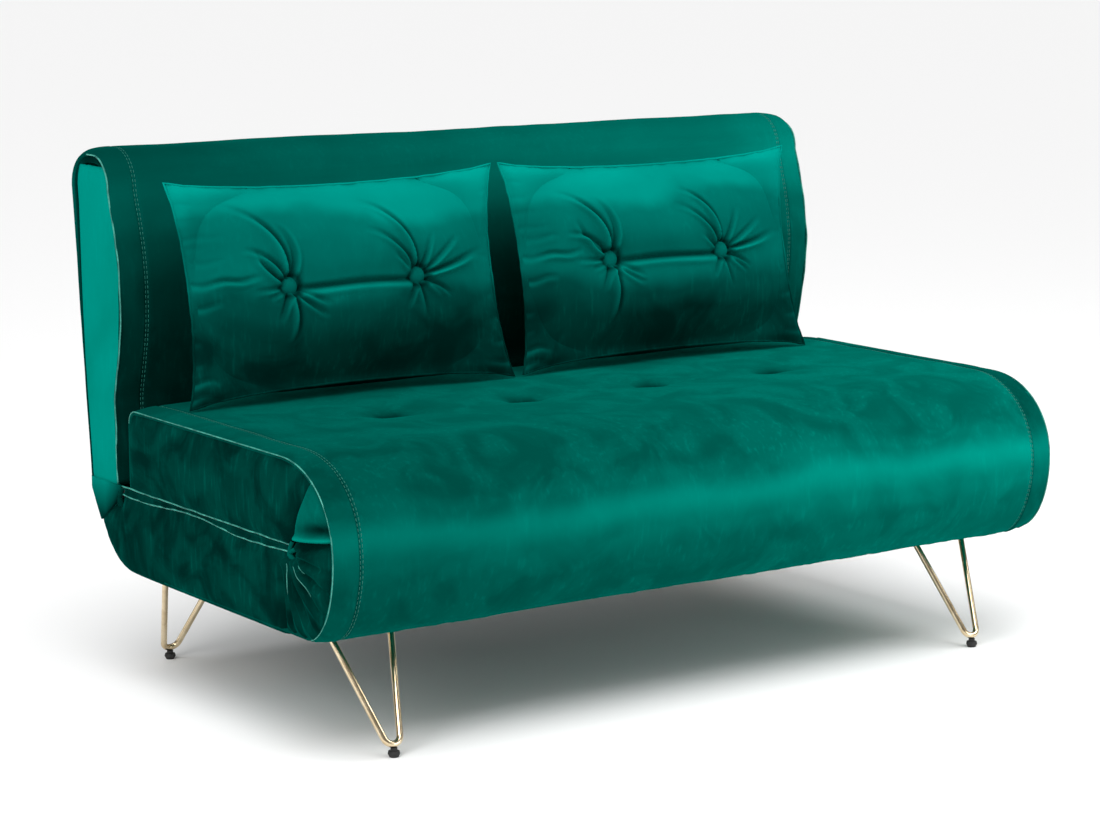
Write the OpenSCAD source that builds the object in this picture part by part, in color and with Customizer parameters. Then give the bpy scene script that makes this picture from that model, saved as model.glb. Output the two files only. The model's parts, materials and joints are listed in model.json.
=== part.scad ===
// Two-seat fold-out sofa bed: base, nose, seat and back are mattress sections on
// steel frames, joined at the sides by hinge plates that run in a narrow channel
// between the foam and the side of the cover.
// Millimetres, +Z up, the sitter faces -Y. Origin: on the floor, at the middle.

/* [Overall] */
// Width across the covers
overall_w = 1360; // [1100:10:1700]
// Height of the underside above the floor
leg_h = 177; // [140:1:230]
// Thickness of one mattress layer, and of the nose
layer_t = 132; // [110:1:160]
// Depth of the base, from the nose to the rear crease
base_d = 516; // [430:2:640]

/* [Back] */
// Height of the back above the rear crease
back_h = 520; // [420:5:640]
// Thickness of the back at the rear crease
back_low_t = 103; // [90:1:130]
// Thickness of the back near its top
back_top_t = 134; // [110:1:170]
// How far the back's front leans from the crease to the top
back_lean_d = 13; // [0:1:40]
// How far the padding swells forward at mid height
back_swell = 30; // [0:1:45]
// Radius along the back's top edge
back_top_r = 60; // [30:1:65]

/* [Covers and foam] */
// Wall of the velvet covers, with their lining
cover_t = 2; // [1:0.5:4]
// Radius along the edges of the flat sections
edge_r = 14; // [6:1:30]
// Gap between sections that meet
join_gap = 1; // [0.5:0.5:4]
// Gap between a cover and its foam
foam_gap = 0.4; // [0.2:0.1:1]
// Foam rim at the ends of a frame
rim_t = 20; // [12:1:30]

/* [Frames] */
// Side of the square frame tube
tube_s = 25; // [20:1:30]
// Wall of the frame tube
tube_wall = 1.5; // [1:0.25:3]
// Width of a slat
slat_w = 50; // [35:1:65]
// Thickness of a slat
slat_t = 8; // [5:1:12]
// Rows of slats in the base and in the seat
seat_rows = 4; // [3:1:5]
// Rows of slats in the back
back_rows = 4; // [3:1:5]
// Length of a slat holder
holder_l = 30; // [20:1:45]
// Clearance around frame pieces
piece_gap = 0.3; // [0.2:0.1:1]

/* [Hinges] */
// Thickness of a hinge plate
plate_t = 4; // [3:0.5:6]
// Radius of a hinge pin
pin_r = 4; // [3:0.5:6]
// Radial clearance of a pin in its bore
pin_gap = 0.05; // [0.02:0.01:0.1]
// Radius of the eye of a plate
eye_r = 12; // [9:1:14]
// How far the back's pivot lies below and behind the crease
back_pivot_in = 14; // [13:1:20]
// Width of a plate's strap
strap_w = 18; // [14:1:24]
// Length of the foot that a plate has on its rail
plate_foot_l = 110; // [90:5:140]
// Thickness of a pin's head
head_t = 2.4; // [1.5:0.1:3]

/* [Nose] */
// Radius of the rods inside the nose
nose_rod_r = 10; // [8:0.5:14]

/* [Hairpin legs] */
// Radius of the rod
rod_r = 5; // [4:0.5:7]
// Distance of a foot from the side of the cover
foot_in = 123; // [80:1:200]
// Outward slope of the legs
leg_splay = 31; // [10:1:34]
// Slope of each rod from the leg's middle line
rod_slope = 13; // [8:1:18]
// Radius of the bend above the foot
bend_r = 14; // [10:1:24]
// Length of the plate that holds a leg
leg_plate_l = 120; // [100:1:150]
// Width of the plate that holds a leg
leg_plate_w = 44; // [36:1:60]
// Thickness of the plate that holds a leg
leg_plate_t = 3; // [2:0.5:5]
// Radius of a foot pad
pad_r = 9; // [7:0.5:14]
// Height of a foot, pad and neck together
foot_h = 14; // [12:0.5:20]
// Distance of a leg's top from the edge it stands under
leg_top_in = 10; // [8:1:20]
// Radius of a leg screw
screw_r = 2.5; // [2:0.25:4]
// Length of a leg screw
screw_l = 26; // [15:1:28]

/* [Fold-out legs] */
// Radius of the tube
fold_r = 10; // [8:0.5:12]
// Distance of a fold-out leg's pivot from the side of the cover
fold_in = 110; // [70:1:200]
// Gap between the seat's free end and the tube
fold_gap = 4.5; // [3:0.5:8]
// Clearance left for the back behind the tubes
fold_back_gap = 5; // [3:0.5:10]
// Length of a foot cap
cap_l = 22; // [15:1:35]
// Radius of the pivot bolt
bolt_r = 4; // [3:0.5:5]

/* [Throw pillows] */
// Width of a pillow
pillow_w = 596; // [450:2:660]
// Height of a pillow
pillow_h = 350; // [280:2:420]
// Thickness of a pillow at its middle
pillow_t = 134; // [90:2:150]
// Lean of the pillows
pillow_lean = 12; // [5:1:20]
// Distance from the rear crease to the middle of a pillow's lower edge
pillow_foot_d = 145; // [135:1:180]
// Gap between the two pillows
pillow_space = 14; // [4:1:60]
// How far both pillows sit towards the left
pillow_shift = 30; // [0:1:50]
// Height of the pillows over the seat
pillow_lift = 2; // [1:0.5:6]
// Radius of a covered button
button_r = 15; // [10:0.5:20]
// Thickness of a covered button
button_t = 7; // [4:0.5:10]
// Distance of each button from the middle of its pillow
button_x = 116; // [60:1:180]
// How deep the buttons are drawn in
button_in = 26; // [10:1:40]

/* [Seat tufts] */
// Tufts in the row
tuft_n = 4; // [2:1:6]
// Distance between tufts
tuft_pitch = 247; // [150:1:260]
// Distance of the row from the front of the seat
tuft_d = 216; // [150:1:300]
// Radius of a tuft button
tuft_r = 8; // [5:0.5:14]
// Depth of a tuft
tuft_in = 14; // [6:0.5:20]

/* [Hidden] */

velvet = "#00584a";
velvet_dark = "#003d35";
foam = "#e8dfc8";
steel = "#50545a";
gold = "#d8c29a";
beech = "#c9a46c";
black = "#202022";
$fn = 40;

half_w = overall_w / 2;
half_t = layer_t / 2;
overall_d = layer_t + base_d + back_lean_d + back_top_t;
front_y = -overall_d / 2;
base_y = front_y + layer_t;
crease_y = base_y + base_d;
mid_z = leg_h + layer_t;
seat_z = leg_h + 2 * layer_t;

// The nose turns on the lower pivot, and the seat on the upper one.
pivot_y = base_y - half_t;
lower_z = leg_h + half_t;
upper_z = mid_z + half_t;
back_pivot_y = crease_y + back_pivot_in;
back_pivot_z = mid_z - back_pivot_in;

// Side channel for the hinge plates, from the foam outwards.
skin_gap = 0.7;
channel_w = 1 + 2 * plate_t + piece_gap + head_t + skin_gap + piece_gap;
foam_x = half_w - cover_t - channel_w;
inner_plate_x = foam_x + 1;
outer_plate_x = inner_plate_x + plate_t + piece_gap;
head_x = outer_plate_x + plate_t + piece_gap;
rail_x = inner_plate_x;
slot_h = 2 * eye_r + 8;

// The seat stops short of the back, to leave room for the fold-out legs.
seat_y0 = base_y + join_gap;
fold_y = crease_y - fold_back_gap - fold_r;
seat_y1 = fold_y - fold_r - fold_gap;
fold_x = half_w - fold_in;
fold_l = lower_z - 1;

inset = cover_t + foam_gap;
base_frame_z = leg_h + cover_t + 1 + tube_s / 2;
frame_y0 = base_y + inset + rim_t;
base_frame_d = base_d - 2 * (inset + rim_t) - join_gap;
seat_frame_d = seat_y1 - inset - rim_t - frame_y0;
back_frame_z = mid_z + inset + rim_t;
back_frame_h = back_h - 2 * (inset + rim_t) - back_top_r / 2;
back_frame_y = crease_y + back_low_t * 0.62;
back_tilt = atan((back_top_t + back_lean_d - back_low_t) / back_h) / 2;

// The back's front swells between these heights.
back_z0 = mid_z + join_gap;
back_z1 = mid_z + back_h;
back_top_y = crease_y + back_lean_d;
swell_z0 = seat_z + 6;
swell_z1 = back_z1 - back_top_r;

// The seat's foam is in two layers, with the frame under the upper one.
layer_split = upper_z + tube_s / 2 + piece_gap;

// A front bracket's strap ends this far along its rail, and falls this much
// on its way from the pivot to the base's front.
strap_run = 30;
strap_drop = (lower_z - base_frame_z) * half_t / (frame_y0 + strap_run - pivot_y);

leg_top_z = leg_h - leg_plate_t;
leg_x = half_w - foot_in;
rod_z = foot_h + rod_r;

pillow_hem = 3;
pillow_y = crease_y - pillow_foot_d;
pillow_z = seat_z + pillow_lift + pillow_hem * sin(pillow_lean);

module both_sides() {
    children();
    mirror([1, 0, 0]) children();
}

// A profile drawn as (y, z), made w wide about the middle.
module across(w) {
    translate([-w / 2, 0, 0]) rotate([90, 0, 90]) linear_extrude(w) children();
}

// A plate drawn as (y, z), standing outwards from x0.
module side_plate(x0, t = plate_t) {
    translate([x0, 0, 0]) rotate([90, 0, 90]) linear_extrude(t) children();
}

// A strap between two points of a plate's drawing.
module strap(p, q, w) {
    run = q - p;
    translate(p) rotate(atan2(run[1], run[0])) translate([0, -w / 2]) square([norm(run), w]);
}

function arc(c, ry, rz, a0, a1, n = 6) =
    [for (i = [0:n]) c + [ry * cos(a0 + (a1 - a0) * i / n), rz * sin(a0 + (a1 - a0) * i / n)]];

function round_box(y0, z0, y1, z1, r) = concat(
    arc([y1 - r, z1 - r], r, r, 0, 90), arc([y0 + r, z1 - r], r, r, 90, 180),
    arc([y0 + r, z0 + r], r, r, 180, 270), arc([y1 - r, z0 + r], r, r, 270, 360));

function base_outline(d) =
    round_box(base_y + d, leg_h + d, crease_y - join_gap - d, mid_z - join_gap - d, edge_r - d);

function seat_outline(d) =
    round_box(seat_y0 + d, mid_z + join_gap + d, seat_y1 - d, seat_z - d, edge_r - d);

// Round about both pivots on the inside, and one long swell on the outside.
function nose_outline(d) = concat(
    arc([pivot_y, lower_z], half_t - join_gap - d, half_t - d, -90, 0, 10),
    arc([pivot_y, upper_z], half_t - join_gap - d, half_t - d, 0, 90, 10),
    arc([pivot_y, mid_z], half_t - d, layer_t - d, 90, 270, 28));

function back_front_y(z) = crease_y + join_gap + (back_lean_d - join_gap) * (z - back_z0) / back_h
    - (z > swell_z0 && z < swell_z1 ? back_swell * sin(180 * (z - swell_z0) / (swell_z1 - swell_z0)) : 0);

function back_outline(d) = concat(
    [[crease_y + join_gap + d, back_z0 + d]],
    [for (i = [0:16]) let (z = swell_z0 + (swell_z1 - swell_z0) * i / 16) [back_front_y(z) + d, z]],
    arc([back_top_y + back_top_r, back_z1 - back_top_r], back_top_r - d, back_top_r - d, 175, 90),
    arc([back_top_y + back_top_t - back_top_r, back_z1 - back_top_r],
        back_top_r - d, back_top_r - d, 90, 0),
    [[crease_y + back_low_t - d, back_z0 + d]]);

// ---- frames: drawn flat, from y = 0, about z = 0

// The outside of the tubes, or their bore when d is the tube's wall.
module rails(len, d) {
    side = tube_s - 2 * d;
    both_sides() {
        translate([rail_x - tube_s + d, d, -side / 2]) cube([side, len - 2 * d, side]);
        for (y = [d, len - tube_s + d])
            translate([0, y, -side / 2]) cube([rail_x - d, side, side]);
    }
    translate([-side / 2, tube_s / 2, -side / 2]) cube([side, len - tube_s, side]);
}

module tube_frame(len) {
    difference() {
        rails(len, 0);
        rails(len, tube_wall);
    }
}

function row_y(len, rows, i) = tube_s + (len - 2 * tube_s) * (i + 0.5) / rows;

module slats(len, rows) {
    x0 = tube_s / 2 + piece_gap;
    x1 = rail_x - tube_s - piece_gap;
    both_sides() for (i = [0:rows - 1])
        translate([x0, row_y(len, rows, i) - slat_w / 2, -slat_t / 2])
            cube([x1 - x0, slat_w, slat_t]);
}

module slat_holders(len, rows) {
    wall = 3;
    both_sides() for (i = [0:rows - 1], x = [tube_s / 2, rail_x - tube_s - holder_l])
        translate([x, row_y(len, rows, i), 0]) difference() {
            translate([0, -slat_w / 2 - wall, -slat_t / 2 - wall])
                cube([holder_l, slat_w + 2 * wall, slat_t + 2 * wall]);
            translate([-1, -slat_w / 2 - piece_gap, -slat_t / 2 - piece_gap])
                cube([holder_l + 2, slat_w + 2 * piece_gap, slat_t + 2 * piece_gap]);
        }
}

// Room in a foam block for a frame that lies between y0 and y0 + len.
module frame_pocket(y0, len, z0, z1) {
    translate([-foam_x - 1, y0 - piece_gap, z0])
        cube([2 * foam_x + 2, len + 2 * piece_gap, z1 - z0]);
}

// ---- base

module base_frame() {
    color(steel) difference() {
        translate([0, frame_y0, base_frame_z]) tube_frame(base_frame_d);
        for (s = [-1, 1]) leg_screw_holes(s, base_frame_z, tube_s, piece_gap);
    }
}

module base_slats() {
    color(beech) translate([0, frame_y0, base_frame_z]) slats(base_frame_d, seat_rows);
}

module base_slat_holders() {
    color(black) translate([0, frame_y0, base_frame_z]) slat_holders(base_frame_d, seat_rows);
}

module base_foam() {
    color(foam) difference() {
        across(2 * foam_x) polygon(base_outline(inset));
        frame_pocket(frame_y0, base_frame_d, leg_h, base_frame_z + tube_s / 2 + piece_gap);
    }
}

module base_cover() {
    color(velvet_dark) difference() {
        across(overall_w) polygon(base_outline(0));
        across(overall_w - 2 * cover_t) polygon(base_outline(cover_t));
        both_sides() {
            translate([foam_x, base_y - 1, base_frame_z - tube_s / 2])
                cube([channel_w, cover_t + edge_r, lower_z + slot_h / 2 - base_frame_z]);
            translate([foam_x, crease_y - cover_t - edge_r, base_frame_z - tube_s / 2])
                cube([channel_w, cover_t + edge_r + 1, layer_t]);
        }
        for (s = [-1, 1]) leg_screw_holes(s, leg_h, 4 * cover_t, piece_gap);
    }
}

module pin_bore() {
    circle(r = pin_r + pin_gap);
}

module base_front_brackets() {
    eye = [pivot_y, lower_z];
    color(steel) both_sides() side_plate(inner_plate_x) difference() {
        union() {
            translate(eye) circle(r = eye_r);
            strap(eye, [frame_y0 + strap_run, base_frame_z], strap_w);
            translate([frame_y0, base_frame_z - tube_s / 2]) square([plate_foot_l, tube_s]);
        }
        translate(eye) pin_bore();
    }
}

module base_rear_brackets() {
    eye = [back_pivot_y, back_pivot_z];
    rail_y = frame_y0 + base_frame_d;
    color(steel) both_sides() side_plate(inner_plate_x) difference() {
        union() {
            translate(eye) circle(r = eye_r);
            strap(eye, [rail_y - strap_run, base_frame_z], strap_w);
            translate([rail_y - plate_foot_l, base_frame_z - tube_s / 2])
                square([plate_foot_l, tube_s]);
        }
        translate(eye) pin_bore();
    }
}

// A pin with its head outside the outer plate.
module hinge_pin(y, z) {
    translate([inner_plate_x, y, z]) rotate([0, 90, 0]) {
        cylinder(r = pin_r, h = head_x - inner_plate_x + 0.1);
        translate([0, 0, head_x - inner_plate_x]) cylinder(r = pin_r + 3, h = head_t);
    }
}

module rear_hinge_pins() {
    color("silver") both_sides() hinge_pin(back_pivot_y, back_pivot_z);
}

// Soft filling between the base and the back, outside the crease.
module rear_corner_pad() {
    squareness = 1.3;
    ry = back_low_t - inset;
    rz = layer_t - inset;
    color(velvet_dark) across(2 * foam_x) polygon(concat(
        [[crease_y + join_gap, mid_z - join_gap]],
        [for (a = [0:7.5:90]) [crease_y + join_gap + ry * pow(cos(a), squareness),
            mid_z - join_gap - rz * pow(sin(a), squareness)]]));
}

// ---- hairpin legs: s = -1 in front, 1 behind

function leg_top_y(s) = s < 0 ? base_y + leg_top_in : crease_y - join_gap - leg_top_in;
function foot_y(s) = leg_top_y(s) + s * (leg_top_z - rod_z) * tan(leg_splay);

module hairpin() {
    rise = (leg_top_z - rod_z) / cos(leg_splay);
    straight = (rise - bend_r * (1 - sin(rod_slope))) / cos(rod_slope) + 3 * rod_r;
    translate([0, 0, bend_r]) {
        rotate([90, 0, 0]) rotate([0, 0, 180 + rod_slope])
            rotate_extrude(angle = 180 - 2 * rod_slope) translate([bend_r, 0]) circle(r = rod_r);
        for (side = [-1, 1])
            translate([side * bend_r * cos(rod_slope), 0, -bend_r * sin(rod_slope)])
                rotate([0, side * rod_slope, 0]) cylinder(r = rod_r, h = straight);
    }
}

function plate_y0(s) = leg_top_y(s) - (s < 0 ? rod_r + 2 : leg_plate_w - rod_r - 2);

module hairpin_leg(side, s) {
    color(gold) {
        difference() {
            translate([side * leg_x, foot_y(s), rod_z]) rotate([s * leg_splay, 0, 0]) hairpin();
            translate([-overall_w, -overall_d, leg_top_z]) cube([2 * overall_w, 2 * overall_d, layer_t]);
        }
        difference() {
            translate([side * leg_x - leg_plate_l / 2, plate_y0(s), leg_top_z])
                cube([leg_plate_l, leg_plate_w, leg_plate_t]);
            leg_screw_holes(s, leg_top_z, 3 * leg_plate_t, piece_gap);
        }
    }
}

function screw_x(i) = leg_x + (i - 0.5) * (leg_plate_l - 26);
function screw_y(s) = s < 0 ? frame_y0 + tube_s / 2 : frame_y0 + base_frame_d - tube_s / 2;

module leg_screw_holes(s, z, h, gap) {
    both_sides() for (i = [0, 1])
        translate([screw_x(i), screw_y(s), z - h / 2 - 0.5]) cylinder(r = screw_r + gap, h = h + 1);
}

module leg_screws() {
    head_h = 2;
    color(gold) both_sides() for (s = [-1, 1], i = [0, 1])
        translate([screw_x(i), screw_y(s), leg_top_z]) {
            translate([0, 0, -head_h]) cylinder(r = 2 * screw_r, h = head_h);
            translate([0, 0, -0.1]) cylinder(r = screw_r, h = screw_l);
        }
}

module front_left_leg() { hairpin_leg(-1, -1); }
module front_right_leg() { hairpin_leg(1, -1); }
module rear_left_leg() { hairpin_leg(-1, 1); }
module rear_right_leg() { hairpin_leg(1, 1); }

module leg_feet() {
    pad_h = foot_h - 5;
    neck_r = pad_r * 0.55;
    color(black) both_sides() for (s = [-1, 1])
        translate([leg_x, foot_y(s), 0]) rotate_extrude() polygon([
            [0, 0], [pad_r * 0.72, 0], [pad_r, pad_h * 0.55], [pad_r * 0.9, pad_h],
            [neck_r, pad_h + 0.5], [neck_r, foot_h - 0.2], [0, foot_h - 0.2]]);
}

// ---- nose

module nose_rods() {
    color(steel) {
        for (z = [lower_z, upper_z])
            translate([-foam_x, pivot_y, z]) rotate([0, 90, 0]) cylinder(r = nose_rod_r, h = 2 * foam_x);
        for (x = [-0.6, 0, 0.6])
            translate([x * foam_x, pivot_y, lower_z]) cylinder(r = nose_rod_r * 0.7, h = layer_t);
    }
}

module nose_links() {
    color(steel) both_sides() side_plate(outer_plate_x) difference() {
        union() {
            for (z = [lower_z, upper_z]) translate([pivot_y, z]) circle(r = eye_r);
            strap([pivot_y, lower_z], [pivot_y, upper_z], strap_w);
        }
        for (z = [lower_z, upper_z]) translate([pivot_y, z]) pin_bore();
    }
}

module nose_hinge_pins() {
    color("silver") both_sides() for (z = [lower_z, upper_z]) hinge_pin(pivot_y, z);
}

module nose_foam() {
    color(foam) difference() {
        across(2 * foam_x) polygon(nose_outline(inset));
        across(2 * foam_x + 2) {
            for (z = [lower_z, upper_z]) translate([pivot_y, z]) circle(r = nose_rod_r + piece_gap);
            translate([pivot_y - nose_rod_r, lower_z]) square([2 * nose_rod_r, layer_t]);
        }
    }
}

module nose_cover() {
    reach = eye_r + 6;
    color(velvet) difference() {
        across(overall_w) polygon(nose_outline(0));
        across(overall_w - 2 * cover_t) polygon(nose_outline(cover_t));
        both_sides() {
            translate([foam_x, pivot_y - reach - strap_drop, leg_h - 1])
                cube([channel_w, half_t + reach + strap_drop + 1, half_t + reach + 1]);
            translate([foam_x, pivot_y - reach, upper_z - reach])
                cube([channel_w, half_t + reach + 1, half_t + reach + 1]);
        }
    }
}

// ---- seat

module seat_frame() {
    color(steel) difference() {
        translate([0, frame_y0, upper_z]) tube_frame(seat_frame_d);
        both_sides() fold_bolt(piece_gap);
    }
}

module seat_slats() {
    color(beech) translate([0, frame_y0, upper_z]) slats(seat_frame_d, seat_rows);
}

module seat_slat_holders() {
    color(black) translate([0, frame_y0, upper_z]) slat_holders(seat_frame_d, seat_rows);
}

module seat_foam_upper() {
    color(foam) difference() {
        across(2 * foam_x) intersection() {
            polygon(seat_outline(inset));
            translate([seat_y0, layer_split]) square([base_d, layer_t]);
        }
        tuft_places() cylinder(r = tuft_r + 2, h = tuft_in + 1);
    }
}

module seat_foam_lower() {
    color(foam) difference() {
        across(2 * foam_x) intersection() {
            polygon(seat_outline(inset));
            translate([seat_y0, mid_z]) square([base_d, layer_split - piece_gap - mid_z]);
        }
        frame_pocket(frame_y0, seat_frame_d, upper_z - tube_s / 2 - piece_gap, layer_split + 1);
        both_sides() fold_bolt(piece_gap);
    }
}

module seat_cover() {
    color(velvet) difference() {
        across(overall_w) polygon(seat_outline(0));
        across(overall_w - 2 * cover_t) polygon(seat_outline(cover_t));
        both_sides() {
            translate([foam_x, seat_y0 - 1, upper_z - slot_h / 2])
                cube([channel_w, cover_t + edge_r, slot_h]);
            fold_bolt(piece_gap);
        }
        tuft_places() cylinder(r = tuft_r + 2, h = tuft_in + 1);
    }
}

module seat_hinge_brackets() {
    eye = [pivot_y, upper_z];
    color(steel) both_sides() side_plate(inner_plate_x) difference() {
        union() {
            translate(eye) circle(r = eye_r);
            strap(eye, [frame_y0 + plate_foot_l, upper_z], strap_w);
            translate([frame_y0, upper_z - tube_s / 2]) square([plate_foot_l, tube_s]);
        }
        translate(eye) pin_bore();
    }
}

module tuft_places() {
    for (i = [0:tuft_n - 1])
        translate([(i - (tuft_n - 1) / 2) * tuft_pitch, base_y + tuft_d, seat_z - tuft_in]) children();
}

module seat_tuft_buttons() {
    color(velvet_dark) tuft_places() cylinder(r = tuft_r, h = 4);
}

// ---- fold-out legs on the seat's free end

module fold_bolt(gap = 0) {
    y0 = frame_y0 + seat_frame_d - tube_s;
    translate([fold_x, y0, upper_z]) rotate([-90, 0, 0])
        cylinder(r = bolt_r + gap, h = fold_y + fold_r + 1 - y0);
}

module fold_leg_bolts() {
    head_h = 3;
    color("silver") both_sides() {
        fold_bolt();
        translate([fold_x, fold_y + fold_r + piece_gap, upper_z]) rotate([-90, 0, 0])
            cylinder(r = 2 * bolt_r, h = head_h);
    }
}

module fold_leg_washers() {
    color(steel) both_sides()
        translate([fold_x, seat_y1 + piece_gap, upper_z]) rotate([-90, 0, 0]) difference() {
            cylinder(r = 2 * bolt_r, h = fold_gap - 2 * piece_gap);
            translate([0, 0, -1]) cylinder(r = bolt_r + pin_gap, h = fold_gap + 2);
        }
}

module fold_leg(side) {
    tail_l = fold_r + 6;
    color(steel) difference() {
        translate([side * fold_x, fold_y, upper_z]) rotate([0, -side * 90, 0])
            translate([0, 0, -tail_l]) cylinder(r = fold_r, h = fold_l - cap_l / 2 + tail_l);
        translate([side * fold_x, fold_y - fold_r - 1, upper_z]) rotate([-90, 0, 0])
            cylinder(r = bolt_r + pin_gap, h = 2 * fold_r + 2);
    }
}

module fold_leg_cap(side) {
    color(black) translate([side * fold_x, fold_y, upper_z]) rotate([0, -side * 90, 0])
        translate([0, 0, fold_l - cap_l]) difference() {
            cylinder(r = fold_r + 2.5, h = cap_l);
            translate([0, 0, -1]) cylinder(r = fold_r + pin_gap, h = cap_l / 2 + 1 + pin_gap);
        }
}

module fold_leg_left() { fold_leg(-1); }
module fold_leg_right() { fold_leg(1); }
module fold_leg_left_cap() { fold_leg_cap(-1); }
module fold_leg_right_cap() { fold_leg_cap(1); }

// ---- back

module in_back() {
    translate([0, back_frame_y, back_frame_z]) rotate([90 - back_tilt, 0, 0]) children();
}

module back_frame() {
    color(steel) in_back() tube_frame(back_frame_h);
}

module back_slats() {
    color(beech) in_back() slats(back_frame_h, back_rows);
}

module back_slat_holders() {
    color(black) in_back() slat_holders(back_frame_h, back_rows);
}

// The half space of the back in front of the frame's rear face, or the rest.
module back_split(front) {
    in_back() translate([-overall_w, -back_h, front ? -tube_s / 2 - piece_gap : -layer_t - tube_s / 2])
        cube([2 * overall_w, 3 * back_h, layer_t + back_swell + (front ? tube_s : -piece_gap)]);
}

module back_pocket() {
    in_back() translate([-overall_w, -piece_gap, -tube_s / 2 - piece_gap])
        cube([2 * overall_w, back_frame_h + 2 * piece_gap, tube_s + 2 * piece_gap]);
}

module back_foam_front() {
    color(foam) difference() {
        intersection() {
            across(2 * foam_x) polygon(back_outline(inset));
            back_split(true);
        }
        back_pocket();
    }
}

module back_foam_rear() {
    color(foam) difference() {
        across(2 * foam_x) polygon(back_outline(inset));
        back_split(true);
        in_back() translate([-overall_w, -back_h, -tube_s / 2 - 2 * piece_gap])
            cube([2 * overall_w, 3 * back_h, 2 * piece_gap]);
    }
}

module back_cover() {
    color(velvet) difference() {
        across(overall_w) polygon(back_outline(0));
        across(overall_w - 2 * cover_t) polygon(back_outline(cover_t));
        both_sides() translate([foam_x, crease_y - 1, back_z0 - 1])
            cube([channel_w, back_low_t - edge_r, cover_t + 2]);
    }
}

module back_hinge_brackets() {
    eye = [back_pivot_y, back_pivot_z];
    foot = [back_frame_y, back_frame_z];
    color(steel) both_sides() difference() {
        union() {
            side_plate(outer_plate_x) {
                translate(eye) circle(r = eye_r);
                strap(eye, foot + [0, plate_foot_l / 2], strap_w);
            }
            side_plate(rail_x, outer_plate_x + plate_t - rail_x)
                translate([foot[0], foot[1] + plate_foot_l / 2]) rotate(-back_tilt)
                    translate([-tube_s / 2, 0]) square([tube_s - 1, plate_foot_l]);
        }
        side_plate(outer_plate_x - 1, plate_t + 2) translate(eye) pin_bore();
    }
}

// ---- throw pillows

function lens(w, t, n = 14) = concat(
    [for (i = [0:n]) [-w / 2 + w * i / n, t / 2 * pow(sin(180 * i / n), 0.62) + pillow_hem]],
    [for (i = [n:-1:0]) [-w / 2 + w * i / n, -t / 2 * pow(sin(180 * i / n), 0.62) - pillow_hem]]);

// Upright about the origin: x across, y through, z up.
module pillow_form(d) {
    intersection() {
        translate([0, 0, -pillow_h / 2 + d]) linear_extrude(pillow_h - 2 * d)
            polygon(lens(pillow_w - 2 * d, pillow_t - 2 * d));
        translate([-pillow_w / 2 + d, 0, 0]) rotate([90, 0, 90]) linear_extrude(pillow_w - 2 * d)
            rotate(90) polygon(lens(pillow_h - 2 * d, pillow_t - 2 * d));
    }
}

module in_pillow(side) {
    translate([side * (pillow_w + pillow_space) / 2 - pillow_shift, pillow_y, pillow_z])
        rotate([-pillow_lean, 0, 0]) translate([0, 0, pillow_h / 2]) children();
}

module button_places(r, h) {
    for (x = [-button_x, button_x])
        translate([x, -pillow_t / 2 - pillow_hem + button_in, 0]) rotate([90, 0, 0]) cylinder(r = r, h = h);
}

module pillow_filling(side) {
    color(foam) in_pillow(side) difference() {
        pillow_form(1.5);
        button_places(button_r + 2, pillow_t);
    }
}

module pillow_cover(side) {
    color(velvet) in_pillow(side) difference() {
        pillow_form(0);
        pillow_form(1.2);
        button_places(button_r + 2, pillow_t);
    }
}

module pillow_buttons(side) {
    color(velvet_dark) in_pillow(side) button_places(button_r, button_t);
}

module pillow_left_filling() { pillow_filling(-1); }
module pillow_left_cover() { pillow_cover(-1); }
module pillow_left_buttons() { pillow_buttons(-1); }
module pillow_right_filling() { pillow_filling(1); }
module pillow_right_cover() { pillow_cover(1); }
module pillow_right_buttons() { pillow_buttons(1); }

base_frame();
base_slats();
base_slat_holders();
base_foam();
base_cover();
base_front_brackets();
base_rear_brackets();
rear_hinge_pins();
rear_corner_pad();
front_left_leg();
front_right_leg();
rear_left_leg();
rear_right_leg();
leg_feet();
leg_screws();
nose_rods();
nose_links();
nose_hinge_pins();
nose_foam();
nose_cover();
seat_frame();
seat_slats();
seat_slat_holders();
seat_foam_upper();
seat_foam_lower();
seat_cover();
seat_hinge_brackets();
seat_tuft_buttons();
fold_leg_bolts();
fold_leg_washers();
fold_leg_left();
fold_leg_left_cap();
fold_leg_right();
fold_leg_right_cap();
back_frame();
back_slats();
back_slat_holders();
back_foam_front();
back_foam_rear();
back_cover();
back_hinge_brackets();
pillow_left_filling();
pillow_left_cover();
pillow_left_buttons();
pillow_right_filling();
pillow_right_cover();
pillow_right_buttons();
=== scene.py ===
"""Two-seat fold-out sofa bed in tufted velvet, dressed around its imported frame."""

import json
import logging
import math
from collections.abc import Callable, Sequence
from dataclasses import dataclass, field
from enum import Enum

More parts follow.
